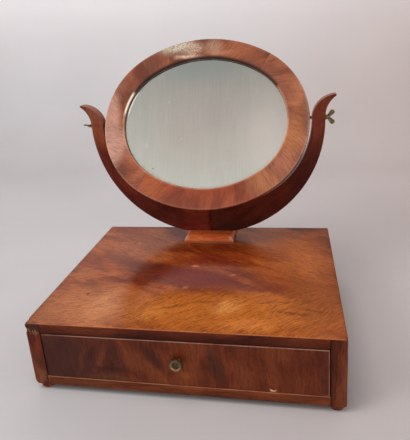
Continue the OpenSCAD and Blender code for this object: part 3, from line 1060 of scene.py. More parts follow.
TOP_FINISH = Mahogany(
    "polished_top", (104, 41, 17), (136, 63, 24), (160, 83, 34), (216, 138, 96),
    grain_turn=26.0, streak_l=38.0, streak_w=1.9, fibre_l=9.0, fibre_w=0.75, cloud_l=90.0,
    cloud_w=26.0, wander=9.0, contrast=0.9, polish=0.16, shine=0.14, seed=11.0,
    fans=(
        (Patch(-160, -100, 190, 150, 0, (0, 0, 0), 1.0, 0.35), -36.0),
        (Patch(80, -116, 250, 92, 0, (0, 0, 0), 1.0, 0.35), -66.0),
    ),
    dull=(
        Patch(200, 10, 130, 260, 0, (0, 0, 0), 0.3, 0.6),
        Patch(82, -24, 44, 44, 0, (0, 0, 0), 0.14),
    ),
    patches=(
        # The golden zone along the front
        Patch(55, -118, 230, 66, 2, (177, 100, 39), 0.9, 0.7),
        # Painted sheen: the paler left front
        Patch(-140, -118, 120, 84, -6, (170, 102, 58), 0.9, 0.8),
        # A painted highlight: the pale bloom in the polish
        Patch(60, -106, 34, 26, 20, (210, 142, 78), 0.55),
        Patch(95, -146, 60, 22, 6, (200, 120, 62), 0.6),
        # Painted sheen along the edge of the paler left front
        Patch(-118, -112, 40, 64, -14, (196, 128, 84), 0.6),
        Patch(-190, -146, 36, 34, 0, (152, 90, 52), 0.6),
        Patch(-40, -126, 40, 20, 40, (196, 122, 58), 0.5),
        # The grey-brown streaks at the back left
        Patch(-130, 70, 120, 90, -30, (148, 82, 48), 0.75, 0.8),
        Patch(-186, -28, 40, 40, 0, (166, 96, 50), 0.7),
        Patch(-134, 22, 70, 20, -26, (100, 52, 34), 0.65, grainy=1.0),
        Patch(-118, 2, 50, 9, -12, (96, 48, 32), 0.55, grainy=1.0),
        Patch(-104, 62, 60, 12, -30, (110, 56, 36), 0.5, grainy=1.0),
        Patch(-172, 52, 36, 10, -30, (106, 56, 40), 0.5, grainy=1.0),
        # The dark band from the left across the middle
        Patch(-84, -8, 74, 26, -30, (84, 30, 20), 0.85),
        Patch(-60, 0, 44, 24, -18, (84, 30, 20), 0.75),
        Patch(-10, -52, 76, 20, -14, (100, 42, 24), 0.7),
        Patch(84, -54, 110, 20, 6, (112, 46, 20), 0.6),
        # The dark red middle in front of the plinth
        Patch(14, 26, 92, 44, 4, (104, 32, 15), 0.85),
        Patch(-44, 70, 40, 26, 10, (92, 26, 14), 0.7),
        Patch(30, 74, 60, 30, 0, (92, 22, 13), 0.7),
        Patch(86, 60, 80, 30, -8, (124, 50, 20), 0.5),
        # The purple patch
        Patch(6, -28, 84, 34, -8, (104, 26, 12), 0.9, 0.5),
        # The brown right end
        Patch(182, -20, 60, 190, 4, (136, 70, 24), 0.75, 0.6),
        Patch(140, 96, 76, 70, 0, (162, 84, 28), 0.75, 0.7),
        Patch(120, -20, 50, 50, -30, (150, 70, 24), 0.5, 0.8),
        Patch(170, 28, 40, 80, 6, (176, 96, 40), 0.6),
        # The dark streaks in the front zone
        Patch(-150, -84, 44, 3.5, 12, (120, 62, 40), 0.6, grainy=0.6),
        Patch(-176, -104, 40, 3.5, 12, (124, 66, 42), 0.6, grainy=0.6),
        Patch(-130, -120, 30, 3, 14, (124, 70, 46), 0.5, grainy=0.6),
        Patch(-92, -96, 30, 26, 0, (150, 76, 34), 0.5),
        Patch(-20, -112, 34, 5, 24, (96, 42, 20), 0.7, grainy=0.5),
        Patch(30, -96, 46, 5, 10, (96, 42, 20), 0.6, grainy=0.5),
        Patch(150, -116, 40, 6, -8, (96, 44, 22), 0.8, grainy=0.6),
        Patch(176, -108, 26, 5, -14, (96, 44, 22), 0.8, grainy=0.6),
        Patch(120, -92, 40, 4, 6, (104, 46, 22), 0.6, grainy=0.6),
        # The bruised front left corner
        Patch(-206, -170, 17, 14, 0, (74, 40, 34), 0.95, 0.6),
        # Bruises and dents
        Patch(-8, 7, 9, 4, 0, (208, 122, 74), 0.7),
        Patch(58, -19, 7, 5, 20, (200, 118, 78), 0.6),
        Patch(-10, -60, 9, 6, 20, (196, 104, 62), 0.5),
        Patch(-155, -87, 3.5, 5, 0, (62, 30, 20), 0.85),
        Patch(-130, 88, 6, 5, 0, (206, 104, 72), 0.5),
    ),
)
CARCASS_FINISH = Mahogany(
    "polished_carcass", (70, 28, 17), (94, 40, 24), (116, 56, 33), (206, 140, 104),
    streak_l=90.0, streak_w=3.0, contrast=0.7, shine=0.11, polish=0.3, seed=3.0,
)
TOP_RAIL_FINISH = replace(
    CARCASS_FINISH, name="polished_top_rail", deep=(70, 26, 14), middle=(90, 36, 19),
    pale=(110, 50, 27), seed=5.0,
)
BOTTOM_RAIL_FINISH = replace(
    CARCASS_FINISH, name="polished_bottom_rail", deep=(84, 36, 20), middle=(108, 52, 29),
    pale=(128, 66, 36), seed=9.0,
    patches=(Patch(-150, 8, 110, 24, 0, (92, 46, 28), 0.8, 0.8),),
)
STILE_FINISH = replace(
    CARCASS_FINISH, name="veneered_stile", deep=(82, 35, 21), middle=(101, 45, 28),
    pale=(116, 58, 36), streak_l=40.0, cloud_l=90.0, cloud_w=14.0, seed=15.0,
    patches=(
        Patch(-202, 64, 7, 26, -6, (128, 46, 30), 0.8, 0.8),
        Patch(-208, 42, 5, 20, 0, (84, 46, 30), 0.7, 0.8),
        Patch(-202, 14, 9, 16, 0, (126, 76, 50), 0.7, 0.8),
        # The broken top end, and a painted highlight along the open joint below it
        Patch(-206, 92, 14, 11, 0, (64, 36, 30), 0.95, 0.4),
        Patch(-203, 83.6, 9, 0.9, 0, (206, 156, 126), 0.9, 0.7),
    ),
)
FOOT_FINISH = replace(
    CARCASS_FINISH, name="polished_foot", deep=(98, 44, 28), middle=(128, 66, 44),
    pale=(150, 86, 60), cloud_l=8.0, cloud_w=6.0, seed=19.0,
)
DRAWER_FINISH = Mahogany(
    "flame_drawer", (92, 40, 24), (104, 47, 27), (116, 55, 31), (198, 150, 132),
    grain_turn=86.0, streak_l=60.0, streak_w=3.4, cloud_l=60.0, cloud_w=26.0, wander=9.0,
    contrast=0.5, shine=0.11, polish=0.3, seed=23.0,
    patches=(
        # The plum left end
        Patch(-168, 40, 62, 64, 0, (66, 34, 29), 0.9, 0.5),
        Patch(-112, 38, 50, 64, 0, (74, 38, 29), 0.7, 0.6),
        # Reddish flames that lean to the right
        Patch(-139, 44, 6, 44, -14, (104, 52, 36), 0.5),
        Patch(-111, 48, 8, 36, -24, (116, 56, 37), 0.7),
        Patch(-122, 58, 7, 26, -24, (60, 29, 25), 0.6),
        Patch(-88, 62, 16, 24, 26, (62, 31, 25), 0.5),
        # The orange sweep and the dark band beside it
        Patch(-62, 50, 22, 32, 40, (116, 58, 33), 0.7, 0.8),
        Patch(-34, 30, 16, 38, 34, (122, 62, 34), 0.7, 0.8),
        Patch(-34, 56, 13, 36, 38, (58, 31, 27), 0.75),
        Patch(-100, 34, 40, 7, 0, (58, 29, 25), 0.65, 0.8),
        Patch(-100, 20, 44, 8, 0, (100, 60, 40), 0.6, 0.8),
        # The orange glow and the dark band to the right of the knob
        Patch(12, 38, 26, 44, 14, (130, 64, 34), 0.8, 0.8),
        Patch(8, 32, 10, 10, 0, (158, 88, 42), 0.5),
        Patch(4, 58, 16, 12, 0, (84, 28, 20), 0.6),
        Patch(50, 50, 15, 44, 16, (64, 36, 29), 0.75),
        Patch(76, 50, 18, 26, 24, (120, 56, 34), 0.6),
        Patch(186, 44, 12, 60, 0, (76, 34, 28), 0.5),
        # The crack and the chips at the lower right
        Patch(114, 33, 0.9, 14, 0, (54, 24, 18), 0.7, 0.8),
        Patch(124, 18.4, 6.0, 2.2, 4, (226, 184, 128), 0.95, 0.7),
        Patch(98, 15.6, 3.4, 1.5, 0, (210, 142, 106), 0.9, 0.7),
        Patch(158, 24, 40, 40, 0, (116, 54, 32), 0.5, 0.8),
    ),
)
YOKE_LEFT_FINISH = Mahogany(
    "dark_yoke_left", (62, 15, 12), (92, 25, 18), (120, 42, 28), (176, 104, 80),
    streak_l=34.0, streak_w=3.0, contrast=0.9, polish=0.28, shine=0.07, seed=41.0, curved=True,
    patches=(
        Patch(-196, 20, 40, 70, 10, (138, 80, 58), 0.75, 0.8),
        Patch(-196, -16, 30, 40, 10, (128, 60, 34), 0.6),
        Patch(-184, -84, 40, 60, 20, (84, 24, 14), 0.6, 0.8),
        Patch(-110, -170, 80, 50, -30, (74, 22, 21), 0.6, 0.8),
        Patch(-26, -194, 34, 30, 0, (120, 34, 26), 0.65, grainy=0.6),
        Patch(-70, -186, 34, 24, 20, (84, 26, 26), 0.6, grainy=0.4),
    ),
)
YOKE_RIGHT_FINISH = Mahogany(
    "dark_yoke_right", (42, 11, 9), (62, 19, 14), (90, 31, 22), (156, 94, 72),
    streak_l=34.0, streak_w=3.0, contrast=0.8, polish=0.28, shine=0.07, seed=47.0, curved=True,
    patches=(
        Patch(205, 10, 50, 90, -10, (112, 48, 34), 0.85, 0.8),
        Patch(40, -196, 70, 40, 0, (54, 17, 15), 0.7, 0.8),
        Patch(128, -150, 60, 44, 40, (88, 24, 22), 0.7, grainy=0.3),
        Patch(180, -90, 30, 60, -20, (84, 24, 22), 0.6, grainy=0.3),
    ),
)
PLINTH_FINISH = Mahogany(
    "polished_plinth", (170, 72, 36), (200, 94, 48), (218, 110, 58), (228, 190, 164),
    streak_l=70.0, streak_w=3.0, contrast=0.6, polish=0.28, shine=0.12, seed=53.0,
)
FRAME_FINISH = Mahogany(
    "crossbanded_frame", (108, 56, 38), (138, 74, 50), (164, 94, 64), (220, 172, 146),
    grain_turn=62.0, streak_l=30.0, streak_w=2.0, cloud_l=70.0, cloud_w=40.0, wander=5.0,
    contrast=0.5, pore_depth=0.35, polish=0.2, shine=0.4, seed=67.0, curved=True,
    # A painted highlight on the left inner lip
    gleams=(Patch(-137, 42, 12, 32, -25, (255, 248, 222), 1.0, 0.5),),
)
FRAME_TOP_FINISH = replace(
    FRAME_FINISH, name="frame_crossband_top", seed=71.0, deep=(100, 54, 38),
    middle=(124, 68, 46), pale=(146, 84, 56),
    patches=(
        Patch(-100, 118, 60, 30, 28, (110, 62, 46), 0.7, 0.8),
        Patch(60, 128, 60, 30, -8, (150, 84, 56), 0.7, 0.8),
        # The worn polish at the top: pale where it is rubbed, with its painted highlight
        Patch(-44, 138, 64, 17, 4, (142, 116, 98), 0.8, 0.7),
        Patch(-47, 142, 46, 12, 7, (208, 200, 180), 0.95, 0.8, grainy=0.95, scuffed=True),
        Patch(-20, 135, 26, 16, 0, (200, 170, 148), 0.85, 0.8, grainy=0.9, scuffed=True),
        Patch(-28, 121, 36, 7, -3, (228, 190, 168), 0.9, 0.8, grainy=0.4, scuffed=True),
        Patch(18, 139, 22, 20, 0, (170, 132, 110), 0.7, 0.8),
        Patch(26, 126, 38, 9, 0, (184, 128, 100), 0.55),
    ),
)
FRAME_BOTTOM_FINISH = replace(
    FRAME_FINISH, name="frame_crossband_bottom", seed=83.0, deep=(126, 55, 31),
    middle=(144, 66, 37), pale=(158, 76, 43),
    patches=(
        Patch(-92, -110, 34, 40, -40, (164, 86, 48), 0.8, 0.8),
        Patch(88, -112, 24, 40, 30, (144, 84, 58), 0.7, 0.8),
        Patch(108, -104, 34, 44, 40, (176, 112, 72), 0.8, 0.8),
    ),
)
FRAME_LEFT_FINISH = replace(
    FRAME_FINISH, name="frame_crossband_left", seed=97.0,
    patches=(
        # Painted sheen over the left of the frame
        Patch(-172, 0, 26, 100, 0, (186, 142, 126), 0.75, 0.6),
        Patch(-155, -43, 26, 50, -20, (194, 145, 128), 0.8, 0.8),
        Patch(-153, 77, 26, 30, 0, (140, 84, 66), 0.7),
        Patch(-112, 104, 46, 34, 40, (98, 50, 38), 0.85, 0.8),
    ),
)
FRAME_RIGHT_FINISH = replace(
    FRAME_FINISH, name="frame_crossband_right", seed=103.0, deep=(122, 68, 46),
    middle=(146, 86, 58), pale=(168, 104, 72),
    patches=(
        Patch(114, 91, 22, 26, 20, (134, 76, 60), 0.7, 0.8),
        Patch(144, 53, 26, 40, 20, (134, 76, 58), 0.7),
        Patch(153, -30, 26, 44, -10, (176, 110, 70), 0.7, 0.8),
        # Painted sheen along the outer right arris
        Patch(178, 20, 8, 90, 0, (130, 92, 74), 0.6, 0.8),
        Patch(140, -74, 34, 30, 30, (178, 110, 84), 0.7, 0.8),
    ),
)
PINE_FINISH = Pine("aged_pine", (188, 152, 108), (146, 104, 66), (104, 76, 52))
BACK_FINISH = Pine("stained_pine", (116, 80, 53), (95, 64, 42), (66, 46, 32), 4.5)
BRASS_FINISH = OldMetal("aged_brass", (158, 138, 92), (84, 72, 48), 0.34, 0.3, 0.7)
KNOB_FINISH = OldMetal("knob_brass", (172, 140, 104), (80, 58, 38), 0.3, 0.2, 0.5)
IRON_FINISH = OldMetal("dull_iron", (128, 124, 120), (70, 54, 44), 0.45)


# ---- The studio


@dataclass
class Studio:
    """The pale floor that curves up behind, the soft lights and the camera."""

    floor_front: float = -2600.0
    floor_back: float = 900.0
    curve: float = 520.0
    wall_top: float = 2600.0
    half_width: float = 3200.0
    camera_x: float = 153.95
    camera_before_front: float = 489.84
    camera_above_top: float = 361.38
    camera_ahead: tuple[float, float, float] = (-0.19131, 0.94273, -0.27326)
    camera_right: tuple[float, float, float] = (0.98136, 0.17854, -0.07110)
    lens: float = 37.376
    shift_x: float = 0.00128
    shift_y: float = -0.12009
    sky: tuple[tuple[float, float], ...] = ((0.46, 1.04), (0.8, 0.41), (0.98, 0.14))
    sky_seen: Colour = (0.62, 0.6, 0.61)
    sky_strength: float = 0.85

    def build(self) -> None:
        """Builds the sweep, the lights and the camera."""
        self.sweep()
        self.world()
        self.light("window_left", (-1.53, -1.08, 1.74), (0.0, 0.4, 0.3), 1.0, 15.0, (1.0, 1.0, 1.0))
        self.light("ceiling", (-0.3, -0.4, 2.4), (-0.1, 1.0, 0.6), 1.6, 30.0, (1.0, 0.985, 0.975))
        self.camera()
        bpy.context.scene.view_settings.view_transform = "Standard"

    def sweep(self) -> None:
        """Builds the floor and backdrop as one curved sheet."""
        pen = Pen(self.floor_front, 0).line((self.floor_back, 0))
        pen.arc((self.floor_back, self.curve), 90, 5)
        pen.line((self.floor_back + self.curve, self.wall_top))
        bm = moved(pen.bm, moving(-self.half_width, 0, 0) @ SIDEWAYS)
        made = bmesh.ops.extrude_edge_only(bm, edges=bm.edges[:])
        far = [v for v in made["geom"] if isinstance(v, BMVert)]
        bmesh.ops.translate(bm, verts=far, vec=mm(2 * self.half_width, 0, 0))
        sheet = wrapped(bm, "sweep")
        sheet.data.shade_smooth()
        sheet.data.materials.append(self.paper())

    def paper(self) -> bpy.types.Material:
        """Mixes the sweep's pale paper, with painted light that makes it paler up the backdrop, and
        painted shade that makes it warmer and darker at the lower right and darker at the lower
        left.

        Returns:
            The material.
        """
        g = Graph(bpy.data.materials.new("pale_paper"))
        x, z = g.along("X"), g.along("Z")
        mottle = g.noise(g.place, 1 / 3, 1 / 3, 4.0)
        colour = g.ramp(mottle, (0.3, paint((190, 187, 189))), (0.7, paint((194, 191, 193))))
        # Painted light: the backdrop paler higher up
        colour = g.blend(g.step(z, 0.1, 1.1), colour, paint((245, 242, 245)))
        # Painted shade: warmer and darker at the lower right, and darker at the lower left
        warm_shade = (g.step(x, -0.5, 0.9), g.step(z, 0.2, 0.95, 1.0, 0.05))
        dark = (g.step(x, -0.15, -0.8), g.step(z, 0.0, 0.2, 1.0, 0.0))
        for (across, up), tint in ((warm_shade, (0.95, 0.84, 0.79)), (dark, (0.94, 0.93, 0.925))):
            colour = g.blend(g.math("MULTIPLY", across, up), colour, tint, Mix.DARKEN)
        g.set_shader(Base_Color=colour, Roughness=0.9, Specular_IOR_Level=0.1)
        return g.owner

    def world(self) -> None:
        """Fills the room with soft light, a little darker overhead and plain where it is seen."""
        room = bpy.data.worlds.new("room")
        g = Graph(room, "Background", "OutputWorld", "Generated")
        levels = ((height, (level, 0.975 * level, 0.95 * level)) for height, level in self.sky)
        overhead = g.ramp(g.along("Z"), *levels, blur="LINEAR")
        seen = g.add("LightPath").outputs["Is Camera Ray"]
        g.set_shader(Color=g.blend(seen, overhead, self.sky_seen), Strength=self.sky_strength)
        bpy.context.scene.world = room

    def light(self, name: str, place: Sequence[float], aim: Sequence[float], size: float,
              power: float, colour: Colour) -> None:
        """Hangs one soft light, which polish doesn't show.

        Args:
            name: The light's name.
            place: Where it hangs, in metres.
            aim: What it points at, in metres.
            size: Its width in metres.
            power: Its power in watts.
            colour: Its colour.
        """
        data = set_up(bpy.data.lights.new(name, "AREA"), shape="DISK", size=size, energy=power,
                      color=colour)
        aimed = (Vector(aim) - Vector(place)).to_track_quat("-Z", "Y")
        set_up(placed(name, data), location=place, rotation_mode="QUATERNION",
               rotation_quaternion=aimed, visible_glossy=False)

    def camera(self) -> None:
        """Sets the camera up at the photograph's angle."""
        data = set_up(bpy.data.cameras.new("camera"), sensor_width=36.0, lens=self.lens,
                      shift_x=self.shift_x, shift_y=self.shift_y, clip_start=0.01, clip_end=50.0)
        right = Vector(self.camera_right).normalized()
        ahead = Vector(self.camera_ahead).normalized()
        up = right.cross(ahead).normalized()
        turn = Matrix((right, up, -ahead)).transposed()
        lo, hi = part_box("top_veneer")
        place = mm(self.camera_x, -self.camera_before_front, self.camera_above_top)
        place += Vector((0, lo.y, hi.z))
        camera = placed("camera", data)
        camera.matrix_world = Matrix.Translation(place) @ turn.to_4x4()
        bpy.context.scene.camera = camera


# ---- The box and its drawer


@dataclass
class Box:
    """The veneered box on its bun feet."""

    corner: float = 3.0
    heel: dict[Hand, float] = field(default_factory=lambda: {Hand.LEFT: 7.0, Hand.RIGHT: 1.5})
    foot_round: float = 1.6
    foot_bulge: float = 0.55
    soft: float = 0.4
    base: str = "base"
    front: Matrix = field(init=False)
    top: Matrix = field(init=False)

    def __post_init__(self) -> None:
        """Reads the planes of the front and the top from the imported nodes."""
        lo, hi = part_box("top_veneer")
        self.front = front_of("top_veneer")
        self.top = Matrix.Translation((0, (lo.y + hi.y) / 2, hi.z))

    def build(self) -> None:
        """Builds and dresses the box."""
        self.lid()
        self.rails()
        sides = CARCASS_FINISH.dress(self.top, Grain.ACROSS)
        stiles = STILE_FINISH.dress(self.front, Grain.ACROSS)
        feet = FOOT_FINISH.dress(self.top)
        for hand in Hand:
            self.side(hand, sides, stiles)
            for end in ("front", "back"):
                self.foot(f"foot_{end}_{hand.word}", feet)
        along, deep = PINE_FINISH.dress(self.top), PINE_FINISH.dress(self.top, Grain.ACROSS)
        keep(along, self.soft, "top_board", "bottom_board", "drawer_stops")
        keep(deep, self.soft, "runner_left", "runner_right")
        keep(BACK_FINISH.dress(self.front), self.soft, "back_panel")

    def rails(self) -> None:
        """Builds the front rails: dark over the drawer, with painted shade in the gap above it, and
        pale where hands rub below it, with a painted highlight on that arris too.
        """
        for node, finish, *mark in (
                # Painted shade along the top rail's lower arris, in the gap over the drawer
                ("top_rail", TOP_RAIL_FINISH, "grime", 1.6, 0.85, (0, -1, -1)),
                # The bottom rail's upper arris: rubbed pale, with a painted highlight
                ("bottom_rail", BOTTOM_RAIL_FINISH, "wear", 0.65, 0.8, (0, -1, 1))):
            rail = Board(node)
            rail.plane(0.6, 9.0, 0.12, len(node))
            rail.mark(*mark)
            hand_in(rail.bm, f"{node}_polished", self.base, "carcass", finish.dress(self.front),
                    node)

    def lid(self) -> None:
        """Builds the veneered top with its soft edges and its bruised front left corner."""
        lid = Board("top_veneer")
        lo, hi, thick = lid.lo, lid.hi, lid.hi.z - lid.lo.z
        upright = lid.edges(lambda e: abs(e.verts[0].co.z - e.verts[1].co.z) > thick / 2)
        softened(lid.bm, upright, self.corner, 5)
        lid.plane(0.45, 6.0, 0.1, 5.0)
        lid.mark("wear", 1.0, 0.6, (0, -1, 1))
        lid.mark("wear", 0.9, 0.3, (-1, 0, 1), (1, 0, 1))
        lid.mark("grime", 1.2, 0.6, (0, 1, 1), (-1, 0, -1), (1, 0, -1))
        for i in range(1, 9):
            for across in (X_AXIS, Y_AXIS):
                saw(lid.bm, lo + across * 1.5 * i * MM, across)
        corner = Vector((lo.x, lo.y, hi.z))
        Chip(corner + mm(1, 1, 0), Vector((0.5, 0.4, -0.7)), 4.6, 1.7).knock(lid.bm)
        Chip(corner + mm(0, 8, 0), Vector((0.95, 0, -0.3)), 4.4, 1.5).knock(lid.bm)
        hand_in(lid.bm, "veneered_top", self.base, "veneer_top", TOP_FINISH.dress(self.top),
                "top_veneer")

    def side(self, hand: Hand, material: bpy.types.Material, stile: bpy.types.Material) -> None:
        """Builds one full-height side, with its foot end rounded off and the left one chipped.

        Args:
            hand: The side.
            material: Its material.
            stile: The material of its front edge.
        """
        name = f"side_{hand.word}"
        side = Board(name)
        lo, hi = side.lo, side.hi
        outside = lo.x if hand is Hand.LEFT else hi.x
        lower = side.edges(lambda e: all(abs(v.co.x - outside) < MM and v.co.z < lo.z + MM
                                         for v in e.verts))
        softened(side.bm, lower, self.heel[hand], 5)
        lines, chips = [], []
        if hand is Hand.LEFT:
            for i in range(1, 12):
                lines += [(hi - mm(0, 0, 1.3 * i), Z_AXIS), (lo + mm(1.7 * i, 0, 0), X_AXIS)]
            lines += [(lo + mm(0, i, 0), Y_AXIS) for i in (3, 4.5)]
            broken = Vector((lo.x, lo.y, low("top_board").z))
            heel = Vector((hi.x, lo.y, lo.z))
            chips = [Chip(broken + mm(8, 0, 2.5), Y_AXIS, 5.0, 1.5),
                     Chip(broken + mm(13, 0, 1.5), Y_AXIS, 4.5, 1.2),
                     Chip(broken + mm(1, 0, 5), Vector((0.8, 0.6, 0)), 4.5, 1.4),
                     Chip(heel + mm(0, 0, 9), Vector((-0.7, 0.7, 0)), 4.0, 1.0)]
        side.plane(0.7, 9.0, 0.14, 7.0 * hand.value, lines)
        side.mark("wear", 0.8, 0.4, (hand.value, -1, 0))
        # Painted shade along the inner front arris, in the gap beside the drawer
        side.mark("grime", 1.6, 0.75, (-hand.value, -1, 0))
        for chip in chips:
            chip.knock(side.bm)
        piece = hand_in(side.bm, f"{name}_polished", self.base, "carcass", material, name)
        piece.data.materials.append(stile)
        for face in piece.data.polygons:
            face.material_index = int(face.normal.y < -0.6)

    def foot(self, node: str, material: bpy.types.Material) -> None:
        """Turns one bun foot.

        Args:
            node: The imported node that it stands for.
            material: Its material.
        """
        lo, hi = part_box(node)
        height = (hi.z - lo.z) / MM
        bulge = self.foot_bulge * height
        neck = (hi.x - lo.x) / 2 / MM - self.foot_round
        pen = Pen(0, height).line((neck, height))
        for degrees in range(78, -91, -12):
            around = math.radians(degrees)
            reach = height - bulge if degrees > 0 else bulge
            pen.line((neck + self.foot_round * math.cos(around), bulge + reach * math.sin(around)))
        bm = turned(pen.line((0, 0)).bm, 48)
        moved(bm, Matrix.Translation((middle(node).x, middle(node).y, lo.z)))
        near(bm, "wear", [], 1.0)
        hand_in(bm, f"{node}_turned", self.base, "carcass", material, node)


@dataclass
class Drawer:
    """The drawer: its figured front, its knob and the pine box behind."""

    wall: float = 8.0
    tails: int = 3
    tail_l: float = 12.0
    tail_w: float = 9.0
    tail_flare: float = 2.0
    play: float = 0.1
    screw_hole: float = 4.2
    knob_rim: float = 2.5
    ring_r: float = 6.4
    ring_band: float = 0.9
    body: str = "drawer"

    def build(self) -> None:
        """Builds and dresses the drawer."""
        self.front()
        self.knob()
        top = Matrix.Translation((0, 0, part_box("top_veneer")[1].z))
        deep, across = PINE_FINISH.dress(top, Grain.ACROSS), PINE_FINISH.dress(top)
        keep(deep, 0.3, "drawer_side_left", "drawer_side_right")
        keep(across, 0.3, "drawer_back")
        keep(across, 0.2, "drawer_bottom")
        keep(IRON_FINISH.dress(), 0.2, "knob_screw")

    def sockets(self) -> Iterator[BMesh]:
        """Makes the cutters for the dovetail sockets at both ends.

        Yields:
            Each cutter.
        """
        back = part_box("drawer_front")[1].y
        root, tip = self.tail_w / 2, self.tail_w / 2 + self.tail_flare
        for hand in Hand:
            lo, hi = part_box(f"drawer_side_{hand.word}")
            start = lo.x if hand is Hand.RIGHT else lo.x - MM
            for i in range(self.tails):
                y = (i + 0.5) * (hi.z - lo.z) / MM / self.tails
                pen = Pen(0.5, y - root).line((-self.tail_l, y - tip), (-self.tail_l, y + tip),
                                              (0.5, y + root))
                yield moved(raised(pen.closed(), self.wall + 1),
                            Matrix.Translation((start, back, lo.z)) @ SIDEWAYS)

    def front(self) -> None:
        """Builds the drawer front with its sockets, its groove and the hole for the knob."""
        node = "drawer_front"
        front = Board(node)
        front.plane(0.7, 9.0, 0.12, 13.0)
        # Top and right arrises: rubbed pale, with a painted highlight
        front.mark("wear", 0.65, 0.9, (0, -1, 1), (1, -1, 0))
        # Painted shade along the left arris, in the gap beside the stile
        front.mark("grime", 1.2, 0.6, (-1, -1, 0))
        lo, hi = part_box("drawer_bottom")
        play = mm(self.play, self.play, self.play)
        screw = middle("knob_screw")
        start = Vector((screw.x, front.lo.y - MM, screw.z))
        bm = cut(front.bm, block(lo - play, hi + play),
                 drill(start, Y_AXIS, self.screw_hole, 20), *self.sockets())
        hand_in(bm, "figured_drawer_front", self.body, "drawer_face",
                DRAWER_FINISH.dress(front_of(node)), node)

    def knob(self) -> None:
        """Turns the knob: a flange, a slim neck and a head with a ringed hollow."""
        node = "drawer_knob"
        lo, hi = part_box(node)
        length = (hi.y - lo.y) / MM
        rim_x, rim_z = (hi.x - lo.x) / 2 / MM - self.knob_rim, length - self.knob_rim
        pen = Pen(0, 0).line(
            (5.0, 0), (5.0, 0.8), (4.7, 1.2), (4.0, 1.6), (3.6, 2.4), (3.5, 3.2),
            (3.5, length - 6.3), (3.9, length - 5.7), (4.8, length - 5.3),
            (rim_x, rim_z - self.knob_rim))
        pen.arc((rim_x, rim_z), 180, 15)
        for inwards, below in ((0.5, 0.3), (1.2, 1.3), (2.2, 1.6), (3.2, 1.4), (3.9, 0.6),
                               (4.5, 0.35)):
            pen.line((rim_x - inwards, length - below))
        pen.line((1.2, length - 0.3), (0, length - 0.25))
        x, _, z = middle(node)
        bm = moved(turned(pen.bm, 64), Matrix.Translation((x, hi.y, z)) @ UPRIGHT)
        # The ridge round the hollow gets a painted highlight, with rubbed bright metal
        ring = [v.co.copy() for v in bm.verts if v.co.y < lo.y + 1.8 * MM and
                abs(math.hypot(v.co.x - x, v.co.z - z) / MM - self.ring_r) < self.ring_band]
        near(bm, "wear", ring, 1.0)
        hand_in(bm, "turned_knob", self.body, "brass", KNOB_FINISH.dress(), node)


# ---- The yoke and the mirror


@dataclass(frozen=True)
class Oval:
    """The four-centre oval that the mirror's frame and the yoke share, in millimetres."""

    width: float = 365.4
    height: float = 310.0
    arc_angle: float = 56.4
    grain_r: float = 165.0

    @property
    def turn(self) -> float:
        """The angle at which an end arc meets a flat arc, in radians."""
        return math.radians(self.arc_angle)

    @property
    def end_r(self) -> float:
        """The radius of the outline's two end arcs."""
        share = math.tan(self.turn) - 1 / math.cos(self.turn)
        return (self.height / 2 + self.width / 2 * share) / (1 + share)

    @property
    def end_x(self) -> float:
        """The distance of the end arcs' centres from the middle."""
        return self.width / 2 - self.end_r

    @property
    def flat_r(self) -> float:
        """The radius of the outline's upper and lower arcs."""
        return self.end_r + self.end_x / math.cos(self.turn)

    @property
    def flat_z(self) -> float:
        """The distance of the flat arcs' centres from the middle."""
        return self.flat_r - self.height / 2

    def outline(self, inset: float) -> BMesh:
        """Draws an oval inside the outline.

        Args:
            inset: The distance between the two.

        Returns:
            The oval, as one flat face.
        """
        r = self.end_r - inset
        pen = Pen(self.end_x + r * math.cos(self.turn), -r * math.sin(self.turn))
        for side in (1, -1):
            pen.arc((side * self.end_x, 0), 2 * self.arc_angle)
            pen.arc((0, -side * self.flat_z), 180 - 2 * self.arc_angle)
        return pen.closed()

    def follow(self, bm: BMesh, plane: Matrix) -> None:
        """Gives each point its place along and across the oval, for the grain.

        Args:
            bm: The piece.
            plane: The plane of the oval, from its middle.
        """
        layer = bm.verts.layers.float_vector.new("grain")
        back = plane.inverted()
        for v in bm.verts:
            p = back @ v.co
            v[layer] = (math.atan2(p.y, p.x) * self.grain_r * MM, math.hypot(p.x, p.y), p.z)


OVAL = Oval()


